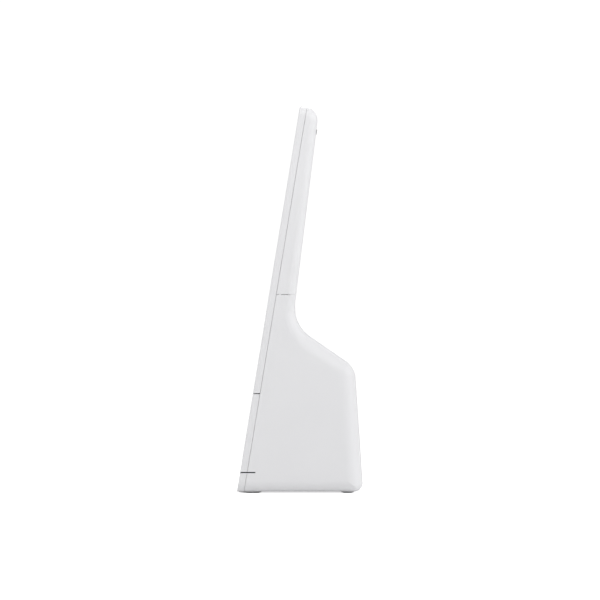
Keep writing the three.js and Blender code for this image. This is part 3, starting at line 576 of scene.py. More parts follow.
lower_plate = front_moulding("lower_front_plate_shell", (-FAR, PLATE_SPLIT - SPLIT_GAP / 2))
carve(lower_plate, [box_shape(WIDE, WIDE, (-FAR, SLOT_MIDDLE + SLOT_HEIGHT / 2))])
grille = []
for i in range(GRILLE_SLOTS):
    slot_z = SPEAKER_Z + (i - (GRILLE_SLOTS - 1) / 2) * GRILLE_PITCH
    grille.append(prism(rounded_outline((-GRILLE_HALF[0], GRILLE_HALF[0]),
                                        (slot_z - GRILLE_HALF[1], slot_z + GRILLE_HALF[1]),
                                        GRILLE_HALF[1] * ALMOST_ROUND), THROUGH))
key_holes = [prism(round_outline(x, KEY_Z, KEY_RADIUS + KEY_PLAY, sides=64), THROUGH)
             for x in key_places]
mic_hole = prism(round_outline(0, MIC_Z, MIC_HOLE, sides=24), THROUGH)
carve(lower_plate, grille + key_holes + [mic_hole], FACE)
round_edges(lower_plate, PLATE_EDGE)
fit(lower_plate, white_abs, ["lower_front_plate"])

chin = front_moulding("chin_strip_shell", (-FAR, PLATE_SPLIT))
carve(chin, [box_shape(WIDE, WIDE, (SLOT_MIDDLE - SLOT_HEIGHT / 2, FAR))])
round_edges(chin, MOULD_EDGE)
fit(chin, white_abs, ["chin_strip"])


# ------------------------------------------------------------------------------------------
# Cover glass. One hardened sheet with ground and polished edges, printed black on its back. The
# active area behind it is a shade bluer. A round clear window is left in front of the camera.
# ------------------------------------------------------------------------------------------
GLASS_DEPTH = (0.00005, 0.00115)
GLASS_EDGE = 0.0003
THROUGH_GLASS = (-0.001, 0.002)
LENS_Z = 0.2226
LENS_WINDOW = 0.0033
LENS_WINDOW_GAP = 0.00002
ACTIVE_X = 0.0455
ACTIVE_Z = (0.0725, 0.216)
PRINT_BLACK = (0.0035, 0.0036, 0.0042, 1)
PANEL_BLACK = (0.0085, 0.009, 0.0115, 1)


def face_place(material):
    """Coordinates of the leaning face: across, into the body and up the face."""
    place = add_node(material, "ShaderNodeTexCoord")
    lean = math.asin(-into_body.z)
    mapping = add_node(material, "ShaderNodeMapping", Location=(0, TOE_Y, 0), Rotation=(-lean, 0, 0))
    mapping.vector_type = "TEXTURE"
    join_nodes(material, ((place, "Object"), (mapping, "Vector")))
    return mapping


def compare(material, operation, source, threshold):
    """1 where the source value is on the asked side of the threshold."""
    test = add_node(material, "ShaderNodeMath")
    test.operation = operation
    join_nodes(material, (source, (test, 0)))
    test.inputs[1].default_value = threshold
    return test


def both(material, first, second):
    product = add_node(material, "ShaderNodeMath")
    product.operation = "MULTIPLY"
    join_nodes(material, ((first, "Value"), (product, 0)), ((second, "Value"), (product, 1)))
    return product


printed_glass = surface("printed_glass", ((0.003, 0.003, 0.004), (0.004, 0.004, 0.005)),
                        (0.03, 0.06), grain=900, strength=0.002)
glass_shader = printed_glass.node_tree.nodes["Principled BSDF"]
glass_shader.inputs["Specular IOR Level"].default_value = 0.4
glass_place = face_place(printed_glass)
glass_axes = add_node(printed_glass, "ShaderNodeSeparateXYZ")
glass_side = add_node(printed_glass, "ShaderNodeMath")
glass_side.operation = "ABSOLUTE"
join_nodes(
    printed_glass,
    ((glass_place, "Vector"), (glass_axes, "Vector")),
    ((glass_axes, "X"), (glass_side, 0)),
)
in_width = compare(printed_glass, "LESS_THAN", (glass_side, "Value"), ACTIVE_X)
above_foot = compare(printed_glass, "GREATER_THAN", (glass_axes, "Z"), ACTIVE_Z[0])
below_head = compare(printed_glass, "LESS_THAN", (glass_axes, "Z"), ACTIVE_Z[1])
active = both(printed_glass, both(printed_glass, in_width, above_foot), below_head)
glass_tone = add_node(printed_glass, "ShaderNodeMix")
glass_tone.data_type = "RGBA"
glass_tone.inputs["A"].default_value = PRINT_BLACK
glass_tone.inputs["B"].default_value = PANEL_BLACK
join_nodes(
    printed_glass,
    ((active, "Value"), (glass_tone, "Factor")),
    ((glass_tone, "Result"), (glass_shader, "Base Color")),
)

cover_glass = new_piece("cover_glass_sheet",
                        soft_plate(GLASS_X, GLASS_Z, GLASS_CORNER, GLASS_DEPTH, GLASS_EDGE), FACE)
carve(cover_glass, [prism(round_outline(0, LENS_Z, LENS_WINDOW, sides=64), THROUGH_GLASS)], FACE)
shade(cover_glass)
fit(cover_glass, printed_glass, ["cover_glass"])

clear_glass = surface("clear_glass", ((0.36, 0.37, 0.38), (0.4, 0.41, 0.42)), (0.01, 0.03),
                      grain=900, strength=0.001)
clear_sockets = clear_glass.node_tree.nodes["Principled BSDF"].inputs
clear_sockets["Transmission Weight"].default_value = 0.95
clear_sockets["IOR"].default_value = 1.5


def turned(profile, x=0, z=0, sides=64):
    """A profile of (radius, depth) turned round an axis along y. It may close on itself."""
    shape = bmesh.new()
    rows = []
    for radius, depth in profile:
        count = sides if radius else 1
        rows.append([shape.verts.new((px, depth, pz))
                     for px, pz in round_outline(x, z, radius, count)])
    if profile[0] == profile[-1]:
        for vert in rows[-1]:
            shape.verts.remove(vert)
        rows[-1] = rows[0]
    for near, far in zip(rows, rows[1:]):
        for j in range(sides):
            k = (j + 1) % sides
            corners = (near[j % len(near)], near[k % len(near)],
                       far[k % len(far)], far[j % len(far)])
            shape.faces.new(dict.fromkeys(corners))
    return shape


window_radius = LENS_WINDOW - LENS_WINDOW_GAP
lens_window = new_piece("lens_window", turned([
    (0, GLASS_DEPTH[0]), (window_radius, GLASS_DEPTH[0]), (window_radius, GLASS_DEPTH[1]),
    (0, GLASS_DEPTH[1]),
], 0, LENS_Z), FACE)
shade(lens_window)
fit(lens_window, clear_glass)


# ------------------------------------------------------------------------------------------
# Glass tape. A die-cut ring of black acrylic foam, sticky on both faces, between the glass and the
# frame. It also keeps dust away from the display.
# ------------------------------------------------------------------------------------------
MERGE_DISTANCE = 2e-6
FLAT_WITHIN = math.radians(1)


def refined(node, name, edge):
    """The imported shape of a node, its flat faces joined and its edges broken."""
    shape = bmesh.new()
    shape.from_mesh(frame["nodes"][node].data)
    bmesh.ops.remove_doubles(shape, verts=shape.verts, dist=MERGE_DISTANCE)
    bmesh.ops.dissolve_limit(shape, angle_limit=FLAT_WITHIN, verts=shape.verts,
                             edges=shape.edges)
    piece = new_piece(name, shape)
    round_edges(piece, edge)
    return piece


black_foam = surface("black_foam", ((0.012, 0.012, 0.012), (0.022, 0.022, 0.023)), (0.85, 0.95),
                     grain=1800, strength=0.35)
fit(refined("glass_tape", "glass_tape_ring", edge=0.00005), black_foam, ["glass_tape"])


# ------------------------------------------------------------------------------------------
# Display. A portrait panel in a thin frame, its ribbon folded back under the main board. A pressed
# steel bracket, screwed to the frame at four corners, holds it against the glass.
# ------------------------------------------------------------------------------------------
RECESS_SLIMNESS = 3.2
SCREW_PLACES = [(-0.051, 0.070), (0.051, 0.070), (-0.051, 0.213), (0.051, 0.213)]

panel_film = surface("panel_film", ((0.012, 0.013, 0.016), (0.018, 0.019, 0.023)), (0.18, 0.3),
                     grain=1500, strength=0.01)
brushed_steel = surface("brushed_steel", ((0.52, 0.53, 0.55), (0.62, 0.63, 0.65)), (0.26, 0.42),
                        grain=2400, strength=0.05, metallic=1, stretch=(0.04, 1, 1))
flex_film = surface("flex_film", ((0.42, 0.2, 0.05), (0.5, 0.26, 0.08)), (0.25, 0.4),
                    grain=700, strength=0.04, stretch=(6, 1, 0.2))
fit(refined("display_panel", "display_panel_module", edge=0.00025), panel_film,
    ["display_panel"])
fit(refined("display_bracket", "display_bracket_sheet", edge=0.00012), brushed_steel,
    ["display_bracket"])
fit(refined("display_flex", "display_ribbon", edge=0.00004), flex_film, ["display_flex"])


def screw(name, place, profile, x, z, recess, arm, edge):
    """A turned screw with a cross recess between two depths. Each arm has the same length."""
    piece = new_piece(name, turned(profile, x, z, sides=32), place)
    width = arm / RECESS_SLIMNESS
    carve(piece, [
        box_shape((x - arm, x + arm), recess, (z - width, z + width)),
        box_shape((x - width, x + width), recess, (z - arm, z + arm)),
    ], place)
    round_edges(piece, edge)
    return piece


BRACKET_SCREW = [(0, 0.0023), (0.0007, 0.0024), (0.0009, 0.0028), (0.0009, 0.0055),
                 (0.002, 0.0055), (0.002, 0.0059), (0.0016, 0.0062), (0, 0.0063)]
for number, (x, z) in enumerate(SCREW_PLACES, 1):
    bracket_screw = screw(f"bracket_screw_{number}_turned", FACE, BRACKET_SCREW, x, z,
                          recess=(0.0059, 0.0070), arm=0.001, edge=0.00005)
    fit(bracket_screw, brushed_steel, [f"bracket_screw_{number}"])


# ------------------------------------------------------------------------------------------
# Camera. A small black module behind the head of the glass, with a domed and coated front lens in
# a blackened ring.
# ------------------------------------------------------------------------------------------
LENS_RADIUS = 0.0027
LENS_PROFILE = [(0, 0.0030), (0.0006, 0.00302), (0.0011, 0.0031), (0.0015, 0.0032),
                (0.0015, 0.0040), (0, 0.0040)]
RING_PROFILE = [(0.00155, 0.00325), (0.00165, 0.0029), (0.0021, 0.0027), (0.0025, 0.0026),
                (LENS_RADIUS, 0.0027), (LENS_RADIUS, 0.0045), (0.00155, 0.0045),
                (0.00155, 0.00325)]

black_abs = surface("black_abs", ((0.016, 0.016, 0.017), (0.024, 0.024, 0.026)), (0.42, 0.56),
                    grain=2200, strength=0.06)
lens_coating = surface("lens_coating", ((0.004, 0.004, 0.012), (0.012, 0.006, 0.03)), (0.01, 0.03),
                       grain=600, strength=0.001, drift=260)
lens_sockets = lens_coating.node_tree.nodes["Principled BSDF"].inputs
lens_sockets["Coat Weight"].default_value = 1
lens_sockets["Coat Roughness"].default_value = 0.01

camera_ring = new_piece("camera_lens_ring", turned(RING_PROFILE, 0, LENS_Z), FACE)
shade(camera_ring)
fit(camera_ring, black_abs, ["camera_lens"])
camera_dome = new_piece("camera_lens_dome", turned(LENS_PROFILE, 0, LENS_Z), FACE)
shade(camera_dome)
fit(camera_dome, lens_coating)
fit(refined("camera_module", "camera_module_body", edge=0.0003), black_abs,
    ["camera_module"])


# ------------------------------------------------------------------------------------------
# Camera shutter. One grey moulding: a blade in front of the lens, a web over the camera and a
# ribbed knob that comes through the rear cover. It slides sideways and stays where it is put.
# ------------------------------------------------------------------------------------------
grey_abs = surface("grey_abs", ((0.075, 0.078, 0.084), (0.09, 0.093, 0.1)), (0.42, 0.54),
                   grain=2400, strength=0.06)
fit(refined("camera_shutter", "camera_shutter_slide", edge=0.00018), grey_abs,
    ["camera_shutter"], "camera_shutter")


# ------------------------------------------------------------------------------------------
# Keys. Four white caps with a shallow dish for the fingertip and a round shoulder, each on a stem
# over its own dome. Their marks are pad-printed: look, talk, unlock and hang up.
# ------------------------------------------------------------------------------------------
DISH_RADIUS = 0.0048
DISH_DEPTH = 0.0002
RIM_DEPTH = 0.00015
SHOULDER = KEY_RADIUS - DISH_RADIUS
MARK_DEPTH = (0.00020, 0.0008)
MARK_LINE = 0.0005
FULL_TURN = 1.999 * math.pi
LOOK_RING = 0.0019
LOOK_DOT = 0.0007
TALK_ARC = {"rise": 0.0008, "radius": 0.0021, "width": 0.00065}
TALK_SPAN = (1.12 * math.pi, 1.88 * math.pi)
TALK_END = {"side": 0.0019, "rise": 0.0001, "length": 0.0015, "width": 0.0009}
TALK_END_TURN = (math.radians(70), math.radians(110))
LOCK_BODY = {"half": 0.0015, "low": 0.0018, "high": 0.0004, "corner": 0.0004}
LOCK_BOW = {"side": 0.0002, "rise": 0.0006, "radius": 0.001, "start": -0.1}
HANG_UP_ARM = 0.0042
END_ROUNDING = 0.49


def dish(steps=10):
    points = []
    for i in range(steps + 1):
        radius = DISH_RADIUS * i / steps
        points.append((radius, RIM_DEPTH + DISH_DEPTH * (1 - (radius / DISH_RADIUS) ** 2)))
    return points


def shoulder(steps=6):
    points = []
    for i in range(1, steps + 1):
        angle = math.pi / 2 * i / steps
        points.append((DISH_RADIUS + SHOULDER * math.sin(angle),
                       RIM_DEPTH + SHOULDER * (1 - math.cos(angle))))
    return points


KEY_PROFILE = dish() + shoulder() + [
    (KEY_RADIUS, 0.0045), (0.0064, 0.0045), (0.0064, 0.0053), (0.0022, 0.0053), (0.0022, 0.0061),
    (0, 0.0061),
]


def arc_outline(x, z, radius, width, start, end, steps=20):
    """A band along part of a circle."""
    angles = [start + (end - start) * i / steps for i in range(steps + 1)]
    outer = [(x + (radius + width / 2) * math.cos(a), z + (radius + width / 2) * math.sin(a))
             for a in angles]
    inner = [(x + (radius - width / 2) * math.cos(a), z + (radius - width / 2) * math.sin(a))
             for a in reversed(angles)]
    return outer + inner


def stroke(x, z, length, width, angle):
    """A straight band with round ends, centred on a point."""
    turn = Matrix.Rotation(angle, 2)
    half = length / 2
    points = rounded_outline((-half, half), (-width / 2, width / 2), width * END_ROUNDING, steps=4)
    return [tuple(Vector((x, z)) + turn @ Vector(point)) for point in points]


def look_mark(x, z):
    return [arc_outline(x, z, LOOK_RING, MARK_LINE, 0, FULL_TURN, steps=48),
            round_outline(x, z, LOOK_DOT, sides=32)]


def talk_mark(x, z):
    ends = [stroke(x + side * TALK_END["side"], z + TALK_END["rise"], TALK_END["length"],
                   TALK_END["width"], turn) for side, turn in zip((-1, 1), TALK_END_TURN)]
    return [arc_outline(x, z + TALK_ARC["rise"], TALK_ARC["radius"], TALK_ARC["width"],
                        *TALK_SPAN), *ends]


def unlock_mark(x, z):
    return [rounded_outline((x - LOCK_BODY["half"], x + LOCK_BODY["half"]),
                            (z - LOCK_BODY["low"], z + LOCK_BODY["high"]), LOCK_BODY["corner"]),
            arc_outline(x - LOCK_BOW["side"], z + LOCK_BOW["rise"], LOCK_BOW["radius"],
                        MARK_LINE, LOCK_BOW["start"], math.pi)]


def hang_up_mark(x, z):
    return [stroke(x, z, HANG_UP_ARM, MARK_LINE, turn) for turn in (math.pi / 4, math.pi * 3 / 4)]


def marked_piece(name, outlines, depth, place):
    """Several flat outlines raised together as one print."""
    shape = bmesh.new()
    for outline in outlines:
        mark = prism(outline, depth)
        mesh = bpy.data.meshes.new("mark")
        mark.to_mesh(mesh)
        mark.free()
        shape.from_mesh(mesh)
        bpy.data.meshes.remove(mesh)
    return new_piece(name, shape, place)


key_abs = surface("key_abs", ((0.76, 0.76, 0.765), (0.79, 0.79, 0.795)), (0.36, 0.46),
                  grain=3000, strength=0.02)
grey_print = surface("grey_print", ((0.1, 0.102, 0.108), (0.13, 0.132, 0.138)), (0.5, 0.65),
                     grain=5200, strength=0.05)
marks = [look_mark, talk_mark, unlock_mark, hang_up_mark]
for key, x, mark in zip(KEYS, key_places, marks):
    cap = new_piece(f"{key}_cap", turned(KEY_PROFILE, x, KEY_Z), FACE)
    shade(cap)
    fit(cap, key_abs, [key], key)
    key_print = marked_piece(f"{key}_mark", mark(x, KEY_Z), MARK_DEPTH, FACE)
    fit(key_print, grey_print, body=key)


# ------------------------------------------------------------------------------------------
# Key switches. A silicone mat with one dome behind each key, on a narrow circuit board. The board
# of the microphone stands beside it, sealed to the plate by a soft ring.
# ------------------------------------------------------------------------------------------
COPPER_PITCH = 420
COPPER_EDGE = 0.09
COPPER_TONE = (0.03, 0.16, 0.07, 1)
CHIP_TONE = (0.014, 0.014, 0.015, 1)
KEY_BOARD_FACE = 0.01045


def board_laminate(name, parts_from=None):
    """Green solder mask over copper tracks. Parts that stand above the board are black."""
    board = surface(name, ((0.008, 0.07, 0.032), (0.012, 0.09, 0.042)), (0.22, 0.34),
                    grain=1600, strength=0.03)
    shader = board.node_tree.nodes["Principled BSDF"]
    place = face_place(board)
    tracks = add_node(board, "ShaderNodeTexVoronoi", Scale=COPPER_PITCH)
    tracks.distance = "MANHATTAN"
    tracks.feature = "DISTANCE_TO_EDGE"
    edge = compare(board, "LESS_THAN", (tracks, "Distance"), COPPER_EDGE)
    masked = add_node(board, "ShaderNodeMix")
    masked.data_type = "RGBA"
    masked.inputs["B"].default_value = COPPER_TONE
    tone = shader.inputs["Base Color"].links[0].from_node
    join_nodes(
        board,
        ((place, "Vector"), (tracks, "Vector")),
        ((edge, "Value"), (masked, "Factor")),
        ((tone, "Result"), (masked, "A")),
        ((masked, "Result"), (shader, "Base Color")),
    )
    if parts_from is not None:
        axes = add_node(board, "ShaderNodeSeparateXYZ")
        join_nodes(board, ((place, "Vector"), (axes, "Vector")))
        raised = compare(board, "GREATER_THAN", (axes, "Y"), parts_from)
        parts = add_node(board, "ShaderNodeMix")
        parts.data_type = "RGBA"
        parts.inputs["B"].default_value = CHIP_TONE
        join_nodes(
            board,
            ((raised, "Value"), (parts, "Factor")),
            ((masked, "Result"), (parts, "A")),
            ((parts, "Result"), (shader, "Base Color")),
        )
    return board


silicone = surface("silicone", ((0.3, 0.3, 0.31), (0.34, 0.34, 0.35)), (0.62, 0.74),
                   grain=1400, strength=0.05)
fit(refined("key_mat", "key_mat_domes", edge=0.00015), silicone, ["key_mat"])
fit(refined("key_board", "key_board_laminate", edge=0.0001),
    board_laminate("key_board_mask", KEY_BOARD_FACE), ["key_board"])
fit(refined("mic_board", "mic_board_laminate", edge=0.0001), board_laminate("mic_board_mask"),
    ["mic_board"])
MIC_BOOT = [(0.0007, 0.0045), (0.0022, 0.0045), (0.0024, 0.0047), (0.0024, 0.0063),
            (0.0022, 0.0065), (0.0007, 0.0065), (0.0007, 0.0045)]
mic_boot = new_piece("mic_boot_ring", turned(MIC_BOOT, 0, MIC_Z, sides=40), FACE)
shade(mic_boot)
fit(mic_boot, black_foam, ["mic_boot"])


# ------------------------------------------------------------------------------------------
# Speaker. An oval driver in a moulded basket, sealed by foam to the plate, with its own air box.
# A black woven cloth is stuck behind the grille's slots.
# ------------------------------------------------------------------------------------------
CLOTH_X = (-0.0272, 0.0272)
CLOTH_HALF = 0.0108
CLOTH_DEPTH = (0.00425, 0.00440)
CLOTH_CORNER = 0.009
CLOTH_EDGE = 0.00004
THREADS = 2500
THREAD_CONTRAST = 1.6


def woven_cloth(name, colour):
    """Two sets of threads that cross at right angles and pass over and under each other."""
    cloth = surface(name, (colour, [c * THREAD_CONTRAST for c in colour]), (0.8, 0.92), grain=3000,
                    strength=0.1)
    place = face_place(cloth)
    weave = add_node(cloth, "ShaderNodeTexChecker", Scale=THREADS)
    bump = add_node(cloth, "ShaderNodeBump", Strength=0.9, Distance=0.0001)
    join_nodes(
        cloth,
        ((place, "Vector"), (weave, "Vector")),
        ((weave, "Fac"), (bump, "Height")),
        ((bump, "Normal"), (cloth.node_tree.nodes["Principled BSDF"], "Normal")),
    )
    return cloth


grille_cloth = new_piece("grille_cloth", soft_plate(
    CLOTH_X, (SPEAKER_Z - CLOTH_HALF, SPEAKER_Z + CLOTH_HALF), CLOTH_CORNER, CLOTH_DEPTH,
    CLOTH_EDGE, steps=2), FACE)
shade(grille_cloth)
fit(grille_cloth, woven_cloth("black_cloth", (0.01, 0.01, 0.011)))

pressed_paper = surface("pressed_paper", ((0.02, 0.02, 0.021), (0.035, 0.035, 0.036)),
                        (0.75, 0.9), grain=1300, strength=0.25)
fit(refined("speaker_gasket", "speaker_gasket_foam", edge=0.00012), black_foam,
    ["speaker_gasket"])
fit(refined("speaker_frame", "speaker_basket", edge=0.0002), black_abs,
    ["speaker_frame"])
fit(refined("speaker_cone", "speaker_cone_paper", edge=0.0002), pressed_paper,
    ["speaker_cone"])
fit(refined("speaker_box", "speaker_air_box", edge=0.0003), black_abs, ["speaker_box"])
MAGNET = [(0, 0.0163), (0.0087, 0.0163), (0.009, 0.0166), (0.009, 0.0227), (0.0087, 0.0230),
          (0, 0.0230)]
magnet = new_piece("speaker_magnet_turned", turned(MAGNET, 0, SPEAKER_Z), FACE)
shade(magnet)
fit(magnet, brushed_steel, ["speaker_magnet"])


# ------------------------------------------------------------------------------------------
# Light strip. A U of smoked polycarbonate behind the dark slot, lit by four small lamps on a strip
# of board, with a lip that fills the slot. Dark when the station rests.
# ------------------------------------------------------------------------------------------
LIP_SET_BACK = 0.0005
LIP_HALF_HEIGHT = 0.00029
LIP_BEHIND = -0.0305
LIP_END_GAP = 0.0001
LIP_INNER_X = (-0.0585, 0.0585)

smoked_pc = surface("smoked_polycarbonate", ((0.006, 0.007, 0.008), (0.01, 0.011, 0.012)),
                    (0.5, 0.62), grain=1500, strength=0.02)
smoked_pc.node_tree.nodes["Principled BSDF"].inputs["Specular IOR Level"].default_value = 0.25
guide = refined("light_guide", "light_guide_strip", edge=0.0002)
fit(guide, smoked_pc, ["light_guide"])
lip = new_piece("light_guide_lip", body_block(inset_outline(SIDE_OUTLINE, LIP_SET_BACK),
                                              HALF_WIDTH - LIP_SET_BACK))
carve(lip, [box_shape(WIDE, (LIP_SET_BACK, FAR), (-FAR, FAR))], FACE, "INTERSECT")
carve(lip, [box_shape(WIDE, (-FAR, SLOT_Y[1] - LIP_END_GAP),
                      (SLOT_MIDDLE - LIP_HALF_HEIGHT, SLOT_MIDDLE + LIP_HALF_HEIGHT))],
      operation="INTERSECT")
carve(lip, [box_shape(LIP_INNER_X, (LIP_BEHIND, FAR), (-FAR, FAR))])
round_edges(lip, width=0.00005)
fit(lip, smoked_pc)
fit(refined("light_board", "light_board_laminate", edge=0.00008), board_laminate("light_board_mask"),
    ["light_board"])


# ------------------------------------------------------------------------------------------
# Main board. Four-layer laminate on short spacers, its processor under a pressed shield can and an
# aluminium heat spreader. Two film antennas are stuck inside the head of the cover.
# ------------------------------------------------------------------------------------------
BOARD_FACE = 0.00885
SPACER_PLACES = [(-0.038, 0.076), (0.038, 0.076), (-0.038, 0.144), (0.038, 0.144)]
SPACER = [(0, 0.0055), (0.002, 0.0055), (0.0022, 0.0057), (0.0022, 0.0069), (0.002, 0.0071),
          (0, 0.0071)]

rolled_aluminium = surface("rolled_aluminium", ((0.7, 0.71, 0.73), (0.78, 0.79, 0.8)),
                           (0.3, 0.45), grain=1800, strength=0.04, metallic=1,
                           stretch=(1, 1, 0.05))
fit(refined("main_board", "main_board_laminate", edge=0.00012),
    board_laminate("main_board_mask", BOARD_FACE), ["main_board"])
fit(refined("shield_can", "shield_can_pressed", edge=0.0003), brushed_steel, ["shield_can"])
fit(refined("heat_spreader", "heat_spreader_plate", edge=0.0001), rolled_aluminium,
    ["heat_spreader"])
for side in ("left", "right"):
    fit(refined(f"wifi_antenna_{side}", f"wifi_antenna_{side}_film", edge=0.00004), flex_film,
        [f"wifi_antenna_{side}"])
for number, (x, z) in enumerate(SPACER_PLACES, 1):
    spacer = new_piece(f"board_spacer_{number}_turned", turned(SPACER, x, z, sides=32), FACE)
    shade(spacer)
    fit(spacer, rolled_aluminium, [f"board_spacer_{number}"])


# ------------------------------------------------------------------------------------------
# Battery. Two round cells in one blue shrink sleeve, lying in a moulded tray in the base, so that
# the station keeps working for a while when it is carried about.
# ------------------------------------------------------------------------------------------
shrink_sleeve = surface("shrink_sleeve", ((0.012, 0.055, 0.2), (0.016, 0.07, 0.25)), (0.2, 0.34),
                        grain=260, strength=0.12, stretch=(0.3, 1, 1))
fit(refined("battery_pack", "battery_pack_sleeve", edge=0.0004), shrink_sleeve,
    ["battery_pack"])
fit(refined("battery_tray", "battery_tray_moulding", edge=0.0003), black_abs,
    ["battery_tray"])


# ------------------------------------------------------------------------------------------
# Leads. Two-core leads inside the housing, from the speaker and the battery up to the main board.
# The two cores are twisted round each other.
# ------------------------------------------------------------------------------------------
CORE_RADIUS = 0.00038
CORE_OFFSET = 0.0004
TWIST_PITCH = 0.009
LEAD_SIDES = 10
SPEAKER_ROUTE = [(0.020, 0.022, 0.0417), (0.021, 0.020, 0.048), (0.024, 0.015, 0.060),
                 (0.026, 0.0115, 0.072), (0.026, 0.0099, 0.080)]
BATTERY_ROUTE = [(-0.020, 0.0475, 0.0716), (-0.021, 0.043, 0.075), (-0.024, 0.028, 0.079),
                 (-0.027, 0.015, 0.081), (-0.028, 0.0099, 0.082)]


def smooth_route(points, steps=24):
    """Evenly rounded line through the points of a route."""
    padded = [points[0]] + points + [points[-1]]
    line = []
    for a, b, c, d in zip(padded, padded[1:], padded[2:], padded[3:]):
        a, b, c, d = Vector(a), Vector(b), Vector(c), Vector(d)
        for i in range(steps):
            t = i / steps
            line.append(0.5 * (2 * b + (c - a) * t + (2 * a - 5 * b + 4 * c - d) * t ** 2
                               + (3 * b - a - 3 * c + d) * t ** 3))
    return line + [Vector(points[-1])]


def twisted_core(shape, line, phase):
    """One core: a tube that winds round the route."""
    travelled = 0
    rows = []
    for i, point in enumerate(line):
        ahead = line[min(i + 1, len(line) - 1)] - line[max(i - 1, 0)]
        along = ahead.normalized()
        side = along.cross(Vector((1, 0, 0))).normalized()
        over = along.cross(side)
        if i:
            travelled += (point - line[i - 1]).length
        angle = phase + 2 * math.pi * travelled / TWIST_PITCH
        centre = point + (side * math.cos(angle) + over * math.sin(angle)) * CORE_OFFSET
        rows.append([shape.verts.new(centre + CORE_RADIUS * (side * math.cos(a)
                                                             + over * math.sin(a)))
                     for a in (2 * math.pi * j / LEAD_SIDES for j in range(LEAD_SIDES))])
    shape.faces.new(rows[0])
    shape.faces.new(reversed(rows[-1]))
    for near, far in zip(rows, rows[1:]):
        for j in range(LEAD_SIDES):
            k = (j + 1) % LEAD_SIDES
            shape.faces.new((near[k], near[j], far[j], far[k]))


wire_jacket = surface("wire_jacket", ((0.014, 0.014, 0.015), (0.02, 0.02, 0.022)), (0.45, 0.6),
                      grain=900, strength=0.03)
for node, route in (("speaker_lead", SPEAKER_ROUTE), ("battery_lead", BATTERY_ROUTE)):
    lead_shape = bmesh.new()
    for phase in (0, math.pi):
        twisted_core(lead_shape, smooth_route(route), phase)
    lead = new_piece(f"{node}_cores", lead_shape, FACE)
    shade(lead)
    fit(lead, wire_jacket, [node])


# ------------------------------------------------------------------------------------------
# Rear sockets. The power inlet is a drawn steel shell round a contact tongue, on a small board. The
# pairing button stands just inside its hole, over its switch.
# ------------------------------------------------------------------------------------------
INLET_HALF = (0.0045, 0.0016)
INLET_CORNER = 0.00155
INLET_DEPTH = (-0.0084, -0.0005)
MOUTH_HALF = (0.0042, 0.0013)
MOUTH_CORNER = 0.00125
MOUTH_DEPTH = (-0.007, 0.001)
TONGUE = ((-0.0032, 0.0032), (-0.0071, -0.0015), (-0.00035, 0.00035))
CONTACTS = 6
CONTACT_PITCH = 0.0009
CONTACT_HALF = (0.0002, 0.00038)
CONTACT_CORNER = 0.00005
CONTACT_DEPTH = (-0.0068, -0.0021)

gold_plate = surface("gold_plate", ((0.75, 0.5, 0.16), (0.85, 0.6, 0.22)), (0.2, 0.32),
                     grain=2600, strength=0.03, metallic=1)
inlet = new_piece("power_inlet_shell", prism(
    rounded_outline((-INLET_HALF[0], INLET_HALF[0]), (-INLET_HALF[1], INLET_HALF[1]), INLET_CORNER),
    INLET_DEPTH), PORT)
carve(inlet, [prism(
    rounded_outline((-MOUTH_HALF[0], MOUTH_HALF[0]), (-MOUTH_HALF[1], MOUTH_HALF[1]),
                    MOUTH_CORNER), MOUTH_DEPTH)], PORT)
round_edges(inlet, width=0.0001)
fit(inlet, brushed_steel, ["power_inlet"])
tongue = new_piece("power_inlet_tongue", box_shape(*TONGUE), PORT)
round_edges(tongue, width=0.00012)
fit(tongue, black_abs)
contact_strips = [
    rounded_outline((x - CONTACT_HALF[0], x + CONTACT_HALF[0]), (-CONTACT_HALF[1], CONTACT_HALF[1]),
                    CONTACT_CORNER, steps=2)
    for x in ((i - (CONTACTS - 1) / 2) * CONTACT_PITCH for i in range(CONTACTS))
]
contacts = marked_piece("power_inlet_contacts", contact_strips, CONTACT_DEPTH, PORT)
fit(contacts, gold_plate)
fit(refined("inlet_board", "inlet_board_laminate", edge=0.0001), board_laminate("inlet_board_mask"),
    ["inlet_board"])
fit(refined("pairing_switch", "pairing_switch_body", edge=0.0002), black_abs,
    ["pairing_switch"])

BUTTON = [(0, -0.0044), (0.0033, -0.0044), (0.0033, -0.0034), (0.0024, -0.0034),
          (0.0024, -0.0004), (0.00232, -0.0002), (0.0021, -0.0001), (0.0015, -0.00018),
          (0.0008, -0.00024), (0, -0.00026)]
button = new_piece("pairing_button_cap", turned(BUTTON, PAIRING_X, 0, sides=48), PORT)
shade(button)
fit(button, grey_abs, ["pairing_button"], "pairing_button")


# ------------------------------------------------------------------------------------------
# Service cover. A white plate let into the underside, vented under the speaker box, held by four
# cross-recessed screws in counterbores.
# ------------------------------------------------------------------------------------------
COVER_PLAY = 0.0003
COVER_HEIGHT = (UNDERSIDE, 0.0031)
COVER_CORNER = 0.0037
COVER_EDGE = 0.0003
THROUGH_PLATE = (0, 0.005)
VENT_Y = [-0.011, -0.003, 0.005, 0.013]
VENT_WIDTH = 0.002
VENT_HALF = 0.014
VENT_CORNER = 0.00095
BASE_SCREW_X = 0.046
BASE_SCREW_Y = (-0.014, 0.018)
SHANK_HOLE = 0.0017
HEAD_HOLE = 0.0033
HEAD_SEAT = (0, 0.0021)
screw_places = [(x, y) for y in BASE_SCREW_Y for x in (-BASE_SCREW_X, BASE_SCREW_X)]

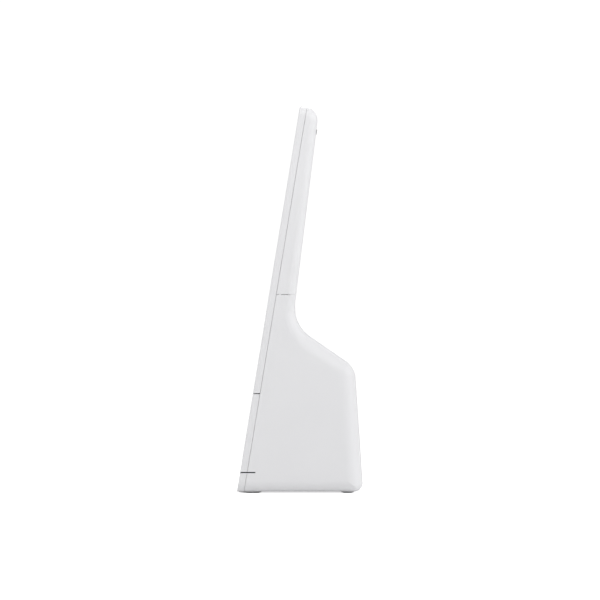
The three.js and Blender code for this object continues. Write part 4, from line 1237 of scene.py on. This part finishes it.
# In the upright frame depth runs up, and z runs towards the front.
cover_plate = new_piece("service_cover_plate", soft_plate(
    (SERVICE_X[0] + COVER_PLAY, SERVICE_X[1] - COVER_PLAY),
    (-SERVICE_Y[1] + COVER_PLAY, -SERVICE_Y[0] - COVER_PLAY), COVER_CORNER, COVER_HEIGHT,
    COVER_EDGE), UPRIGHT)
vents = [prism(rounded_outline((-VENT_HALF, VENT_HALF), (-y - VENT_WIDTH, -y), VENT_CORNER),
               THROUGH_PLATE) for y in VENT_Y]
shank_holes = [prism(round_outline(x, -y, SHANK_HOLE, sides=32), THROUGH_PLATE)
               for x, y in screw_places]
head_holes = [prism(round_outline(x, -y, HEAD_HOLE), HEAD_SEAT) for x, y in screw_places]
carve(cover_plate, vents + shank_holes + head_holes, UPRIGHT)
round_edges(cover_plate, MOULD_EDGE)
fit(cover_plate, white_abs, ["service_cover"])

BASE_SCREW = [(0, 0.0012), (0.0020, 0.0012), (0.0027, 0.0014), (0.003, 0.0017), (0.003, 0.002),
              (0.0014, 0.002), (0.0014, 0.0102), (0.0006, 0.011), (0, 0.011)]
for number, (x, y) in enumerate(screw_places, 1):
    base_screw = screw(f"base_screw_{number}_turned", UPRIGHT, BASE_SCREW, x, -y,
                       recess=(0.0008, 0.0017), arm=0.0015, edge=0.00006)
    fit(base_screw, brushed_steel, [f"base_screw_{number}"])


# ------------------------------------------------------------------------------------------
# Feet and ballast. Two low bars of soft pale rubber with sloping flanks, toned a little below white as
# painted shade for the shadow under the station, and a flat steel bar inside the toe that keeps the
# leaning station from tipping.
# ------------------------------------------------------------------------------------------
FOOT_GLUE = 0.00015
FOOT_TOP = UNDERSIDE - FOOT_GLUE
# Reach in y, half length in x, and how far the front, rear and end flanks slope.
FEET = {
    "front_foot": ((-0.037, -0.0228), 0.053, (0.0055, 0.0018, 0.001)),
    "rear_foot": ((0.0243, 0.0325), 0.052, (0.0015, 0.0015, 0.001)),
}
FOOT_CORNER = 0.0036
FOOT_EDGE = 0.0002

# The rubber's own pale tone, set a little darker than white as painted shade for the shadow that falls
# under the station.
grey_rubber = surface("grey_rubber", ((0.7, 0.7, 0.705), (0.75, 0.75, 0.755)), (0.7, 0.85),
                      grain=2100, strength=0.12)
for node, (y, half_length, slopes) in FEET.items():
    rings = []
    for depth, share, edge in ((0, 1, FOOT_EDGE), (FOOT_EDGE / 2, 1, -FOOT_EDGE / 2),
                               (FOOT_TOP - FOOT_EDGE, 0, FOOT_EDGE), (FOOT_TOP, 0, 0)):
        front, rear, end = (share * slope + edge for slope in slopes)
        rings.append((depth, rounded_outline((-half_length + end, half_length - end),
                                             (-y[1] + rear, -y[0] - front), FOOT_CORNER - end)))
    foot = new_piece(f"{node}_rubber", loft(rings), UPRIGHT)
    shade(foot, sharper_than=60)
    fit(foot, grey_rubber, [node])
fit(refined("ballast_bar", "ballast_bar_flat", edge=0.0004), brushed_steel, ["ballast_bar"])
